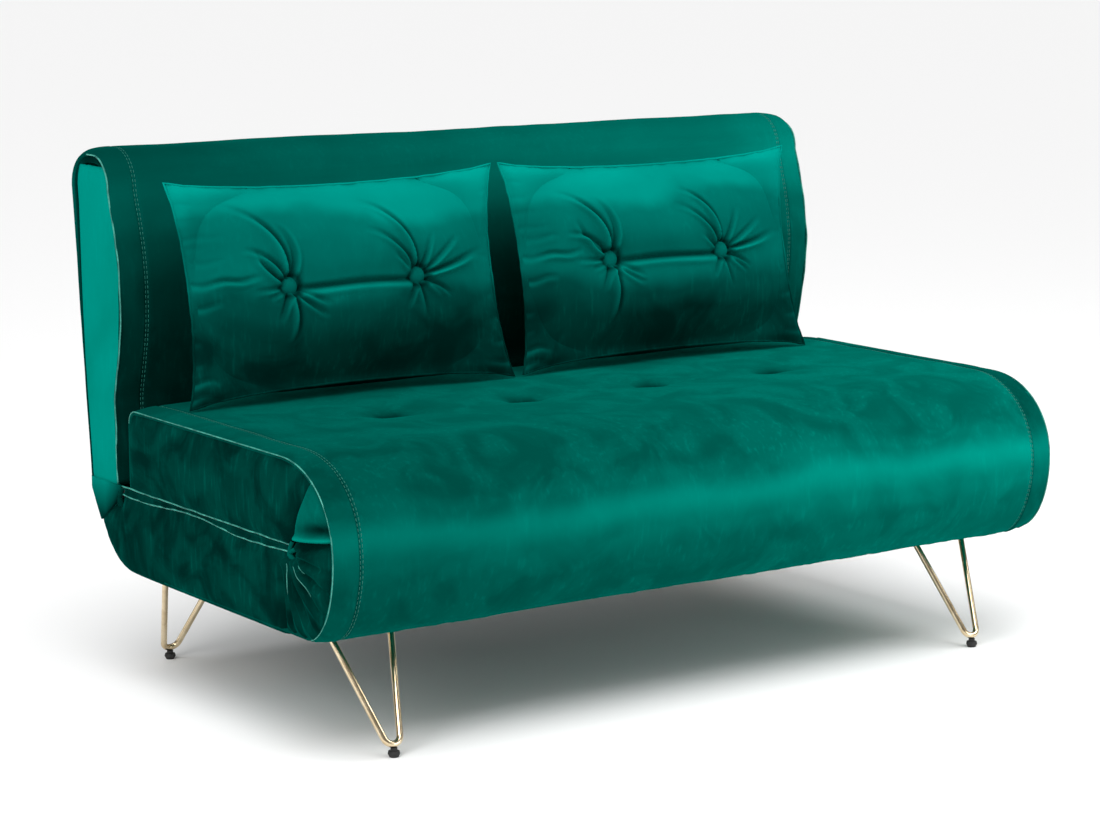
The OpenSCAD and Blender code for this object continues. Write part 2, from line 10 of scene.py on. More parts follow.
import bpy
from mathutils import Matrix, Vector, noise
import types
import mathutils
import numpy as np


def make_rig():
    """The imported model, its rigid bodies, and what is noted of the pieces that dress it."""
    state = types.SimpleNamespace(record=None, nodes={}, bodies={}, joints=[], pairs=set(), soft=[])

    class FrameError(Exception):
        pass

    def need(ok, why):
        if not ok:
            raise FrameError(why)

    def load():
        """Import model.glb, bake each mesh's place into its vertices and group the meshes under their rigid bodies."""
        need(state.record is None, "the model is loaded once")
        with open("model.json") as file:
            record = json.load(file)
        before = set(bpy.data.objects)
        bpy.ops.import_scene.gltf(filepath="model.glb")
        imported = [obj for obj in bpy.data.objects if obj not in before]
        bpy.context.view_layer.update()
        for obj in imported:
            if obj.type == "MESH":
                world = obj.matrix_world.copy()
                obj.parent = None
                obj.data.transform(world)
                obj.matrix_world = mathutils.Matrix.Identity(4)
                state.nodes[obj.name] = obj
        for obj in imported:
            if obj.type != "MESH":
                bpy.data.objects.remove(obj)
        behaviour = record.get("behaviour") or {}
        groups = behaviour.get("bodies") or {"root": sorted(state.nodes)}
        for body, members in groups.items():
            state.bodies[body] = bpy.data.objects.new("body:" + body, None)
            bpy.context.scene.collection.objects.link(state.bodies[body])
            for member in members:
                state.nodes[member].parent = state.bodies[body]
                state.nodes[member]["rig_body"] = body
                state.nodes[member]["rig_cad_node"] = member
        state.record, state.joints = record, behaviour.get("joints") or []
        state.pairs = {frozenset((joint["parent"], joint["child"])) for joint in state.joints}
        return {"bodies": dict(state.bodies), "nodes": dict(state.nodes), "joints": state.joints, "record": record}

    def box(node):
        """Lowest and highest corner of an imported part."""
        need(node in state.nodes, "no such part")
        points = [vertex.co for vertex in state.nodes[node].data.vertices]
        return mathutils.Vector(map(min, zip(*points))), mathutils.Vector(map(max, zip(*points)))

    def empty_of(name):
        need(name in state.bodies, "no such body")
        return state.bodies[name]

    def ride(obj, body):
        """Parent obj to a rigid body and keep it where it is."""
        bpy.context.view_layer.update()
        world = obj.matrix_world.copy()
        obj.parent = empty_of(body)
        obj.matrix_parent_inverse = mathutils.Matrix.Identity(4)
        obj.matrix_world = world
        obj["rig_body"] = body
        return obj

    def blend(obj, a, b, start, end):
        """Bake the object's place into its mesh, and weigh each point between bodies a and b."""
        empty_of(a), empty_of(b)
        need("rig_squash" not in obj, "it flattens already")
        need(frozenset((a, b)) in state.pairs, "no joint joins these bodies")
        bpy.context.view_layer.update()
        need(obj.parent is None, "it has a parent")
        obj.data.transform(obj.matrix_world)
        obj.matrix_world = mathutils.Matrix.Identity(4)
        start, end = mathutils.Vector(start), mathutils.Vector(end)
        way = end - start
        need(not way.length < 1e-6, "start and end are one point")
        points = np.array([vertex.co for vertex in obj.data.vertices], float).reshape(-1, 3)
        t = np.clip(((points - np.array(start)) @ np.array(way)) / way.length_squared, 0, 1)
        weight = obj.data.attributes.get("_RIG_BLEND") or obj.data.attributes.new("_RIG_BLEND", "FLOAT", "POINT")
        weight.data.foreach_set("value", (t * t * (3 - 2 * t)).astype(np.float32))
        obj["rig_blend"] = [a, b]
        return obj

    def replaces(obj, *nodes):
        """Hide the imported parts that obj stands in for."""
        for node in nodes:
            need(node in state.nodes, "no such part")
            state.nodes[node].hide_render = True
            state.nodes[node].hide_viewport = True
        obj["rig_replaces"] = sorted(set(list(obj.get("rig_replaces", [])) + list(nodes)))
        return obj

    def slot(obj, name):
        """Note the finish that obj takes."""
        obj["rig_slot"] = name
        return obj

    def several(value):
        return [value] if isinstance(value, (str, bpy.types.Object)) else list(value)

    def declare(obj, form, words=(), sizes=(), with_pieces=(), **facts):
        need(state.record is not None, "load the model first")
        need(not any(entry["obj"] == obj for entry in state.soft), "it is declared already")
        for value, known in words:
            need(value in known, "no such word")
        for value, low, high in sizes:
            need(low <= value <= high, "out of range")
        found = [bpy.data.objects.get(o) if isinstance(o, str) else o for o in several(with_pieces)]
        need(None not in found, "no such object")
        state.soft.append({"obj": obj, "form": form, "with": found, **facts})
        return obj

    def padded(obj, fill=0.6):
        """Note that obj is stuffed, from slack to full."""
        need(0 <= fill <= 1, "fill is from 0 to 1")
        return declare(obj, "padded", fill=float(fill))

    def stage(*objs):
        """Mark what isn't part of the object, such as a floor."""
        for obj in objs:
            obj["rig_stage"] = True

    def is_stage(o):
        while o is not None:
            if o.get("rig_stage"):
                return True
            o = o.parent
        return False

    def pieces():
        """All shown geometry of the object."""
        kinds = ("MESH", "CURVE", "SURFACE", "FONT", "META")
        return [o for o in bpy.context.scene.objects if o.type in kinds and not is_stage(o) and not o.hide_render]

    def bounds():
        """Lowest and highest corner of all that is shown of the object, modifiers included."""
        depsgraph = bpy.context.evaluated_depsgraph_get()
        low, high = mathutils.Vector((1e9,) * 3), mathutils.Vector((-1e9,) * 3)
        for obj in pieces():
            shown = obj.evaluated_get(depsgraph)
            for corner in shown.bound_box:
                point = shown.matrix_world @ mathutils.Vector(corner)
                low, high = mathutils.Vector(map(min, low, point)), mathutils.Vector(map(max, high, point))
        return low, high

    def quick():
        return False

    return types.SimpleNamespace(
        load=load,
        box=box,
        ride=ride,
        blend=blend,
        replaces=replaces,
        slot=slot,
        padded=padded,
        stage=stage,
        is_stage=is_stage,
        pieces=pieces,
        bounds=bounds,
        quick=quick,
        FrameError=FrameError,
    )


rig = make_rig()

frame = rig.load()

LOG = logging.getLogger("sofa_bed")
SIDES = (-1.0, 1.0)
MERGE_DISTANCE = 0.00005
SLIVER = 0.00002
STITCH_R = 0.00045

Colour = tuple[float, float, float]
Point2 = tuple[float, float]
Place = Callable[[float, float], Vector]


# ---- small tools for the mesh


def deselect() -> None:
    """Leaves object mode's selection empty."""
    if bpy.context.object is not None and bpy.context.object.mode != "OBJECT":
        bpy.ops.object.mode_set(mode="OBJECT")
    bpy.ops.object.select_all(action="DESELECT")


def pick(*pieces: bpy.types.Object) -> bpy.types.Object:
    """Selects the pieces alone and makes the first of them active.

    Args:
        pieces: The objects to select.

    Returns:
        The first piece.
    """
    deselect()
    for piece in pieces:
        piece.select_set(True)
    bpy.context.view_layer.objects.active = pieces[0]
    return pieces[0]


def named(name: str) -> bpy.types.Object:
    """Names the object that an operator has just added.

    Args:
        name: The piece's name.

    Returns:
        The object.
    """
    piece = bpy.context.object
    piece.name = name
    piece.data.name = name
    return piece


def settle(piece: bpy.types.Object) -> bpy.types.Object:
    """Applies the object's place to its mesh, merges doubles and turns faces outwards.

    Args:
        piece: The piece to clean.

    Returns:
        The same piece.
    """
    pick(piece)
    bpy.ops.object.transform_apply(location=True, rotation=True, scale=True)
    bpy.ops.object.mode_set(mode="EDIT")
    bpy.ops.mesh.select_all(action="SELECT")
    bpy.ops.mesh.remove_doubles(threshold=MERGE_DISTANCE)
    bpy.ops.mesh.dissolve_degenerate(threshold=SLIVER)
    bpy.ops.mesh.normals_make_consistent(inside=False)
    bpy.ops.object.mode_set(mode="OBJECT")
    bpy.ops.object.shade_smooth()
    return piece


def use_modifier(piece: bpy.types.Object, kind: str, **settings: object) -> None:
    """Adds a modifier and applies it at once.

    Args:
        piece: The piece that it works on.
        kind: The modifier's type.
        settings: The modifier's own settings.
    """
    modifier = piece.modifiers.new(kind.title(), kind)
    for key, value in settings.items():
        setattr(modifier, key, value)
    pick(piece)
    bpy.ops.object.modifier_apply(modifier=modifier.name)


def move_vertices(piece: bpy.types.Object, place: Callable[[Vector], Vector]) -> None:
    """Moves every vertex of a piece to the place given for its old one."""
    for vertex in piece.data.vertices:
        vertex.co = place(vertex.co.copy())
    piece.data.update()


def patch(name: str, columns: Sequence[float], rows: Sequence[float], place: Place,
          thickness: float) -> bpy.types.Object:
    """A grid laid over a surface, and given a wall on the side away from its normal.

    Args:
        name: The piece's name.
        columns: The surface's first parameter at each column.
        rows: The surface's second parameter at each row.
        place: Gives the surface's point for a pair of parameters.
        thickness: The wall, towards the inside of the object.

    Returns:
        A closed mesh.
    """
    across, along = len(columns) - 1, len(rows) - 1
    deselect()
    bpy.ops.mesh.primitive_grid_add(x_subdivisions=across, y_subdivisions=along, size=2)
    piece = named(name)

    def laid(spot: Vector) -> Vector:
        """Where one of the grid's corners goes."""
        column = columns[round((spot.x + 1) / 2 * across)]
        row = rows[round((spot.y + 1) / 2 * along)]
        return place(column, row)

    move_vertices(piece, laid)
    use_modifier(piece, "SOLIDIFY", thickness=thickness, offset=-1.0, use_even_offset=False)
    return settle(piece)


def tube(name: str, runs: Sequence[Sequence[Vector]], radius: float, sides: int = 2,
         closed: bool = False) -> bpy.types.Object:
    """Round cords along one or more runs of points, as one mesh.

    Args:
        name: The piece's name.
        runs: The runs, each a list of points.
        radius: The cord's radius.
        sides: How finely the cord is rounded.
        closed: Whether each run joins its own start.

    Returns:
        The mesh.
    """
    deselect()
    curve = bpy.data.curves.new(name, "CURVE")
    curve.dimensions = "3D"
    curve.bevel_depth = radius
    curve.bevel_resolution = sides
    curve.use_fill_caps = True
    for run in runs:
        spline = curve.splines.new("POLY")
        spline.points.add(len(run) - 1)
        spline.use_cyclic_u = closed
        for point, spot in zip(spline.points, run):
            point.co = (*spot, 1.0)
    piece = bpy.data.objects.new(name, curve)
    bpy.context.collection.objects.link(piece)
    pick(piece)
    bpy.ops.object.convert(target="MESH")
    return settle(bpy.context.object)


def soft_block(name: str, low: Vector, high: Vector,
               cuts: tuple[int, int, int]) -> bpy.types.Object:
    """A block with soft edges and a slightly uneven surface.

    Args:
        name: The piece's name.
        low: The block's lowest corner.
        high: The block's highest corner.
        cuts: Cuts across each direction.

    Returns:
        A closed mesh.
    """
    uneven, waves, edge_share = 0.0012, 9, 0.9
    deselect()
    middle, size = (low + high) / 2, high - low
    bpy.ops.mesh.primitive_cube_add(size=1, location=middle, scale=size)
    piece = named(name)
    bpy.ops.object.transform_apply(location=True, rotation=True, scale=True)
    for axis, count in enumerate(cuts):
        bpy.ops.object.mode_set(mode="EDIT")
        bpy.ops.mesh.select_mode(type="EDGE")
        bpy.ops.mesh.select_all(action="DESELECT")
        bpy.ops.object.mode_set(mode="OBJECT")
        for edge in piece.data.edges:
            first, last = (piece.data.vertices[i].co for i in edge.vertices)
            edge.select = abs(last[axis] - first[axis]) > size[axis] * edge_share
        bpy.ops.object.mode_set(mode="EDIT")
        bpy.ops.mesh.subdivide(number_cuts=count, quadcorner="STRAIGHT_CUT")
        bpy.ops.object.mode_set(mode="OBJECT")

    move_vertices(piece, lambda spot: spot + Vector(
        (0, 0, uneven * noise.noise(spot * waves))))
    use_modifier(piece, "SUBSURF", levels=1, render_levels=1)
    return settle(piece)


def steps(start: float, stop: float, count: int) -> list[float]:
    """Evenly spaced numbers from the first to the last, with count steps between them."""
    return [start + (stop - start) * i / count for i in range(count + 1)]


def clamp(value: float, low: float = 0.0, high: float = 1.0) -> float:
    """The value, held between two limits."""
    return max(low, min(high, value))


def dip(distance: float, width: float) -> float:
    """A smooth dip: 1 at no distance, gone after about two widths."""
    return math.exp(-((distance / width) ** 2))


def puffed(edge: float, reach: float) -> float:
    """How full a pad is at a distance from its sewn edge, from 0 to nearly 1."""
    return 1 - math.exp(-max(edge, 0.0) / reach)


def arc_fall(radius: float, off: float) -> float:
    """How far a round of a radius has fallen away, off its top by a distance."""
    return radius - math.sqrt(max(0.0, radius * radius - off * off))


def arc(centre: Point2, radii: Point2, start: float, stop: float, count: int) -> list[Point2]:
    """Points along part of an ellipse, from one angle in degrees to another."""
    turns = [math.radians(angle) for angle in steps(start, stop, count)]
    return [(centre[0] + radii[0] * math.cos(turn), centre[1] + radii[1] * math.sin(turn))
            for turn in turns]


def turned(angle: float, middle: float) -> float:
    """The turn from one direction in degrees to another, in radians, the short way round."""
    return math.radians((angle - middle + 180) % 360 - 180)


def sided(stem: str, side: float) -> str:
    """A piece's name with its side of the sofa."""
    return f"{stem}_{'left' if side < 0 else 'right'}"


def between(points: Sequence[Point2], x: float) -> float:
    """Reads a value off a line of straight runs through points.

    Args:
        points: Pairs in rising order of their first number.
        x: Where to read it.

    Returns:
        The value there.
    """
    if x <= points[0][0]:
        return points[0][1]
    for (x0, y0), (x1, y1) in zip(points, points[1:]):
        if x <= x1:
            return y0 + (y1 - y0) * (x - x0) / (x1 - x0)
    return points[-1][1]


# ---- finishes


class VelvetLight(Enum):
    """Lit and shaded copies of the velvet, one for each kind of part, painted for how the light falls there."""

    SEAT = "seat"
    BACK = "back"
    BRIGHT = "bright"
    SHADED = "shaded"
    BED = "bed"
    GUSSET = "gusset"
    PILLOW = "pillow"


@dataclass(frozen=True)
class Pile:
    """The colours of one lit or shaded copy of the velvet, with its painted rim sheen, painted highlight bands and
    painted side light.
    """

    deep: Colour
    middle: Colour
    bright: Colour
    mottle: float
    rim: float
    painted_sheen: Colour = (0.0, 0.30, 0.225)
    heights: tuple[Point2, ...] = ()
    drift: float = 0.05
    light_slant: float = 0.0


# Each copy's colours are painted light: BRIGHT and GUSSET are lit copies, SHADED is in shade, and the heights are
# painted highlight bands.
PILES = {
    VelvetLight.SEAT: Pile((0.0, 0.060, 0.046), (0.0, 0.087, 0.067), (0.0, 0.18, 0.14), 11.0, 0.16,
                   (0.0, 0.27, 0.21),
                   ((0.17, 0.05), (0.25, 0.06), (0.29, 0.22), (0.33, 0.50), (0.365, 0.12),
                    (0.39, 0.0)), light_slant=0.5),
    VelvetLight.BACK: Pile((0.0, 0.018, 0.014), (0.0, 0.036, 0.028), (0.0, 0.09, 0.072), 5.0, 0.14,
                   (0.0, 0.175, 0.137),
                   ((0.31, 0.0), (0.50, 0.02), (0.60, 0.12), (0.68, 0.28), (0.73, 0.50),
                    (0.775, 0.62), (0.805, 0.40), (0.83, 0.30)), light_slant=0.6),
    VelvetLight.BRIGHT: Pile((0.0, 0.19, 0.150), (0.0, 0.225, 0.182), (0.0, 0.27, 0.22), 3.0, 0.10),
    VelvetLight.SHADED: Pile((0.0, 0.011, 0.009), (0.0, 0.035, 0.027), (0.0, 0.115, 0.090), 11.0, 0.12),
    VelvetLight.GUSSET: Pile((0.0, 0.065, 0.050), (0.0, 0.115, 0.090), (0.0, 0.22, 0.175), 9.0, 0.20),
    VelvetLight.BED: Pile((0.0, 0.036, 0.028), (0.0, 0.066, 0.051), (0.0, 0.14, 0.11), 6.0, 0.16),
    VelvetLight.PILLOW: Pile((0.0, 0.016, 0.013), (0.0, 0.034, 0.027), (0.0, 0.10, 0.08), 8.0, 0.14,
                     (0.0, 0.250, 0.204),
                     ((0.44, 0.0), (0.53, 0.0), (0.575, 0.10), (0.615, 0.36), (0.66, 0.32),
                      (0.70, 0.38), (0.735, 0.75), (0.785, 0.95)), 0.13),
}
HEIGHT_SPAN = 0.9
# Near-black colour of the painted shade.
PAINTED_SHADE_COLOUR = (0.0, 0.006, 0.005)


def new_group(name: str, inputs: Sequence[tuple[str, str, object]],
              outputs: Sequence[tuple[str, str]]) -> bpy.types.NodeTree:
    """An empty shader node group with its sockets.

    Args:
        name: The group's name.
        inputs: Name, socket type and value of each input.
        outputs: Name and socket type of each output.

    Returns:
        The group, holding an input and an output node.
    """
    group = bpy.data.node_groups.new(name, "ShaderNodeTree")
    for label, kind, value in inputs:
        socket = group.interface.new_socket(name=label, in_out="INPUT", socket_type=kind)
        if value is not None:
            socket.default_value = value
    for label, kind in outputs:
        group.interface.new_socket(name=label, in_out="OUTPUT", socket_type=kind)
    group.nodes.new("NodeGroupInput").name = "in"
    group.nodes.new("NodeGroupOutput").name = "out"
    return group


def noise_node(tree: bpy.types.NodeTree, vector: bpy.types.NodeSocket, scale: float,
               detail: float, distortion: float = 0.0) -> bpy.types.NodeSocket:
    """Adds a noise texture.

    Args:
        tree: The tree that it goes in.
        vector: The coordinates that it reads.
        scale: Its scale.
        detail: Its detail.
        distortion: Its distortion.

    Returns:
        Its value.
    """
    node = tree.nodes.new("ShaderNodeTexNoise")
    node.inputs["Scale"].default_value = scale
    node.inputs["Detail"].default_value = detail
    node.inputs["Distortion"].default_value = distortion
    tree.links.new(vector, node.inputs["Vector"])
    return node.outputs["Fac"]


def stretch_node(tree: bpy.types.NodeTree, vector: bpy.types.NodeSocket,
                 scale: Colour) -> bpy.types.NodeSocket:
    """Adds a mapping that stretches coordinates.

    Args:
        tree: The tree that it goes in.
        vector: The coordinates to stretch.
        scale: The factor along each axis.

    Returns:
        The stretched coordinates.
    """
    node = tree.nodes.new("ShaderNodeMapping")
    node.inputs["Scale"].default_value = scale
    tree.links.new(vector, node.inputs["Vector"])
    return node.outputs["Vector"]


def ranged(tree: bpy.types.NodeTree, value: bpy.types.NodeSocket,
           spans: tuple[float, float, float, float]) -> bpy.types.NodeSocket:
    """Adds a smooth Map Range.

    Args:
        tree: The tree that it goes in.
        value: The value to map.
        spans: From low, from high, to low and to high.

    Returns:
        The mapped value.
    """
    node = tree.nodes.new("ShaderNodeMapRange")
    node.interpolation_type = "SMOOTHSTEP"
    for socket, number in zip(("From Min", "From Max", "To Min", "To Max"), spans):
        node.inputs[socket].default_value = number
    tree.links.new(value, node.inputs["Value"])
    return node.outputs["Result"]


def maths(tree: bpy.types.NodeTree, operation: str, *values: object) -> bpy.types.NodeSocket:
    """Adds a Math node.

    Args:
        tree: The tree that it goes in.
        operation: Its operation.
        values: Sockets or numbers, in order.

    Returns:
        Its value.
    """
    node = tree.nodes.new("ShaderNodeMath")
    node.operation = operation
    for socket, value in zip(node.inputs, values):
        if isinstance(value, bpy.types.NodeSocket):
            tree.links.new(value, socket)
        else:
            socket.default_value = value
    return node.outputs[0]


def blended(tree: bpy.types.NodeTree, share: bpy.types.NodeSocket, first: object,
            second: object) -> bpy.types.NodeSocket:
    """Adds a colour Mix node.

    Args:
        tree: The tree that it goes in.
        share: How much of the second colour shows.
        first: The first colour, a socket or three numbers.
        second: The second colour, a socket or three numbers.

    Returns:
        The mixed colour.
    """
    node = tree.nodes.new("ShaderNodeMix")
    node.data_type = "RGBA"
    tree.links.new(share, node.inputs[0])
    for socket, colour in ((node.inputs[6], first), (node.inputs[7], second)):
        if isinstance(colour, bpy.types.NodeSocket):
            tree.links.new(colour, socket)
        else:
            socket.default_value = (*colour, 1.0)
    return node.outputs[2]


def pile_group() -> bpy.types.NodeTree:
    """The velvet's pile: brushed patches, fine streaks and grain.

    Returns:
        A group that puts out a colour, a roughness and a height.
    """
    group = new_group(
        "velvet_pile",
        [("Vector", "NodeSocketVector", None), ("Deep", "NodeSocketColor", None),
         ("Middle", "NodeSocketColor", None), ("Bright", "NodeSocketColor", None),
         ("Mottle", "NodeSocketFloat", 5.0)],
        [("Color", "NodeSocketColor"), ("Roughness", "NodeSocketFloat"),
         ("Height", "NodeSocketFloat")])
    source = group.nodes["in"].outputs
    out = group.nodes["out"].inputs
    scaled = group.nodes.new("ShaderNodeVectorMath")
    scaled.operation = "SCALE"
    group.links.new(source["Vector"], scaled.inputs[0])
    group.links.new(source["Mottle"], scaled.inputs["Scale"])
    patches = noise_node(group, scaled.outputs[0], 1.0, 5.0, 1.2)
    streaks = noise_node(group, stretch_node(group, source["Vector"], (1.0, 1.0, 0.16)), 130.0, 3.0)
    grain = noise_node(group, source["Vector"], 1500.0, 2.0)
    brushed = ranged(group, patches, (0.33, 0.66, 0.0, 1.0))
    lit = ranged(group, streaks, (0.50, 0.80, 0.0, 0.35))
    colour = blended(group, brushed, source["Deep"], source["Middle"])
    colour = blended(group, maths(group, "MULTIPLY", lit, brushed), colour, source["Bright"])
    group.links.new(colour, out["Color"])
    group.links.new(maths(group, "ADD", maths(group, "MULTIPLY", grain, 0.18), 0.46),
                    out["Roughness"])
    group.links.new(maths(group, "ADD", maths(group, "MULTIPLY", streaks, 0.35), grain),
                    out["Height"])
    return group


def wear_group() -> bpy.types.NodeTree:
    """Grain and cloudiness for metal, wood, foam and plastic.

    Returns:
        A group that puts out a colour, a roughness and a height.
    """
    group = new_group(
        "grain_and_wear",
        [("Vector", "NodeSocketVector", None), ("Low", "NodeSocketColor", None),
         ("High", "NodeSocketColor", None), ("Scale", "NodeSocketFloat", 40.0),
         ("Smooth", "NodeSocketFloat", 0.2), ("Rough", "NodeSocketFloat", 0.4)],
        [("Color", "NodeSocketColor"), ("Roughness", "NodeSocketFloat"),
         ("Height", "NodeSocketFloat")])
    source = group.nodes["in"].outputs
    out = group.nodes["out"].inputs
    scaled = group.nodes.new("ShaderNodeVectorMath")
    scaled.operation = "SCALE"
    group.links.new(source["Vector"], scaled.inputs[0])
    group.links.new(source["Scale"], scaled.inputs["Scale"])
    grain = noise_node(group, scaled.outputs[0], 1.0, 6.0, 0.4)
    clouds = noise_node(group, source["Vector"], 9.0, 3.0)
    group.links.new(blended(group, ranged(group, grain, (0.3, 0.7, 0.0, 1.0)), source["Low"],
                            source["High"]), out["Color"])
    span = maths(group, "SUBTRACT", source["Rough"], source["Smooth"])
    group.links.new(maths(group, "ADD", maths(group, "MULTIPLY", span, clouds), source["Smooth"]),
                    out["Roughness"])
    group.links.new(grain, out["Height"])
    return group


@dataclass
class Finishes:
    """Every material of the sofa bed, made once."""

    pile: bpy.types.NodeTree = field(default_factory=pile_group)
    wear: bpy.types.NodeTree = field(default_factory=wear_group)
    made: dict[str, bpy.types.Material] = field(default_factory=dict)

    def start(self, name: str) -> tuple[bpy.types.Material, bpy.types.NodeTree, bpy.types.Node]:
        """A new material.

        Args:
            name: Its name.

        Returns:
            The material, its node tree and its Principled BSDF.
        """
        material = bpy.data.materials.new(name)
        material.use_nodes = True
        self.made[name] = material
        return material, material.node_tree, material.node_tree.nodes["Principled BSDF"]

    def dress(self, tree: bpy.types.NodeTree, shader: bpy.types.Node, group: bpy.types.NodeTree,
              values: dict[str, object], bump: tuple[float, float],
              stretch: Colour = (1.0, 1.0, 1.0)) -> bpy.types.NodeSocket:
        """Places a group in a material and links its roughness and bump.

        Args:
            tree: The material's tree.
            shader: The material's shader.
            group: The shared effect.
            values: Values for the group's inputs.
            bump: The bump's strength and distance.
            stretch: How the coordinates are stretched first.

        Returns:
            The group's colour.
        """
        coordinates = tree.nodes.new("ShaderNodeTexCoord").outputs["Object"]
        effect = tree.nodes.new("ShaderNodeGroup")
        effect.node_tree = group
        tree.links.new(stretch_node(tree, coordinates, stretch), effect.inputs["Vector"])
        for key, value in values.items():
            effect.inputs[key].default_value = value
        raised = tree.nodes.new("ShaderNodeBump")
        raised.inputs["Strength"].default_value = bump[0]
        raised.inputs["Distance"].default_value = bump[1]
        tree.links.new(effect.outputs["Height"], raised.inputs["Height"])
        tree.links.new(raised.outputs["Normal"], shader.inputs["Normal"])
        tree.links.new(effect.outputs["Roughness"], shader.inputs["Roughness"])
        return effect.outputs["Color"]

    def velvet(self, lie: VelvetLight) -> bpy.types.Material:
        """Short-pile velvet, with painted sheen at grazing angles and painted shade and highlight from the mesh.

        Args:
            lie: Which lit or shaded copy of the velvet it is.

        Returns:
            The material.
        """
        name = f"velvet_{lie.value}"
        if name in self.made:
            return self.made[name]
        pile = PILES[lie]
        material, tree, shader = self.start(name)
        colour = self.dress(tree, shader, self.pile,
                            {"Deep": (*pile.deep, 1), "Middle": (*pile.middle, 1),
                             "Bright": (*pile.bright, 1), "Mottle": pile.mottle}, (0.25, 0.0006))
        if pile.heights:
            colour = self.painted_sheen(tree, colour, pile)
        # Painted shade from the mesh's attribute, and painted highlight where the attribute is below nought.
        painted_shade = tree.nodes.new("ShaderNodeAttribute")
        painted_shade.attribute_name = "painted_shade"
        colour = blended(tree, painted_shade.outputs["Fac"], colour, PAINTED_SHADE_COLOUR)
        raised = maths(tree, "MULTIPLY", painted_shade.outputs["Fac"], -1.0)
        colour = blended(tree, raised, colour, pile.painted_sheen)
        # Painted sheen: the colour turns lighter towards grazing angles.
        facing = tree.nodes.new("ShaderNodeLayerWeight")
        facing.inputs["Blend"].default_value = 0.35
        rim = ranged(tree, facing.outputs["Facing"], (0.30, 1.0, 0.0, pile.rim))
        tree.links.new(blended(tree, rim, colour, pile.bright), shader.inputs["Base Color"])
        shader.inputs["Specular IOR Level"].default_value = 0.0
        shader.inputs["Sheen Weight"].default_value = 0.08
        shader.inputs["Sheen Roughness"].default_value = 0.35
        shader.inputs["Sheen Tint"].default_value = (0.0, 0.9, 0.7, 1.0)
        return material

    def painted_sheen(self, tree: bpy.types.NodeTree, colour: bpy.types.NodeSocket,
              pile: Pile) -> bpy.types.NodeSocket:
        """Paints highlight bands of sheen at set heights, and lightens the colour towards the right as painted light.

        Args:
            tree: The material's tree.
            colour: The pile's colour.
            pile: The velvet's colours and the heights of its bands.

        Returns:
            The colour with its painted highlight bands.
        """
        place = tree.nodes.new("ShaderNodeTexCoord").outputs["Object"]
        parts = tree.nodes.new("ShaderNodeSeparateXYZ")
        tree.links.new(place, parts.inputs[0])
        drift = noise_node(tree, place, 4.5, 3.0)
        height = maths(tree, "ADD", parts.outputs["Z"], maths(tree, "MULTIPLY", drift, pile.drift))
        height = maths(tree, "SUBTRACT", height, pile.drift / 2)
        height = maths(tree, "DIVIDE", height, HEIGHT_SPAN)
        ramp = tree.nodes.new("ShaderNodeValToRGB")
        ramp.color_ramp.interpolation = "EASE"
        stops = ramp.color_ramp.elements
        while len(stops) < len(pile.heights):
            stops.new(0.5)
        for stop, (z, share) in zip(stops, pile.heights):
            stop.position = z / HEIGHT_SPAN
            stop.color = (share, share, share, 1.0)
        tree.links.new(height, ramp.inputs["Fac"])
        banded = blended(tree, ramp.outputs["Color"], colour, pile.painted_sheen)
        # Painted light: lighter towards the right and darker towards the left.
        side_light_gain = maths(tree, "MULTIPLY_ADD", parts.outputs["X"], pile.light_slant, 1.0)
        scaled = tree.nodes.new("ShaderNodeVectorMath")
        scaled.operation = "SCALE"
        tree.links.new(banded, scaled.inputs[0])
        tree.links.new(side_light_gain, scaled.inputs["Scale"])
        return scaled.outputs[0]

    def plain(self, name: str, low: Colour, high: Colour, scale: float,
              roughness: tuple[float, float], metallic: float = 0.0,
              stretch: Colour = (1.0, 1.0, 1.0), bump: float = 0.08) -> bpy.types.Material:
        """A finish made of the grain-and-wear effect.

        Args:
            name: The material's name.
            low: Its darker colour.
            high: Its lighter colour.
            scale: The grain's scale.
            roughness: Its least and greatest roughness.
            metallic: 1 for metal.
            stretch: How the grain is stretched.
            bump: How strongly the grain stands up.

        Returns:
            The material.
        """
        if name in self.made:
            return self.made[name]
        material, tree, shader = self.start(name)
        colour = self.dress(tree, shader, self.wear,
                            {"Low": (*low, 1), "High": (*high, 1), "Scale": scale,
                             "Smooth": roughness[0], "Rough": roughness[1]},
                            (bump, 0.0005), stretch)
        tree.links.new(colour, shader.inputs["Base Color"])
        shader.inputs["Metallic"].default_value = metallic
        return material

    def gold(self) -> bpy.types.Material:
        """Polished champagne-gold plating."""
        return self.plain("champagne_gold", (0.70, 0.55, 0.34), (0.86, 0.72, 0.50), 60.0,
                          (0.10, 0.26), 1.0, bump=0.02)

    def painted_steel(self) -> bpy.types.Material:
        """Matt powder coat on steel tube."""
        return self.plain("powder_coat", (0.045, 0.048, 0.052), (0.075, 0.078, 0.083), 900.0,
                          (0.42, 0.6), 0.0, bump=0.2)

    def zinc(self) -> bpy.types.Material:
        """Zinc plating on pins and bolts."""
        return self.plain("zinc_plate", (0.48, 0.49, 0.50), (0.66, 0.66, 0.64), 260.0,
                          (0.28, 0.45), 1.0)

    def beech(self) -> bpy.types.Material:
        """Bent beech ply."""
        return self.plain("beech_ply", (0.42, 0.25, 0.12), (0.62, 0.42, 0.24), 60.0,
                          (0.38, 0.55), 0.0, (0.05, 1.0, 1.0), 0.15)

    def plastic(self) -> bpy.types.Material:
        """Moulded black plastic."""
        return self.plain("black_plastic", (0.012, 0.012, 0.013), (0.03, 0.03, 0.032), 700.0,
                          (0.4, 0.55), 0.0, bump=0.2)

    def rubber(self) -> bpy.types.Material:
        """Black rubber of the feet."""
        return self.plain("foot_rubber", (0.008, 0.008, 0.008), (0.022, 0.022, 0.022), 400.0,
                          (0.6, 0.8), 0.0, bump=0.25)

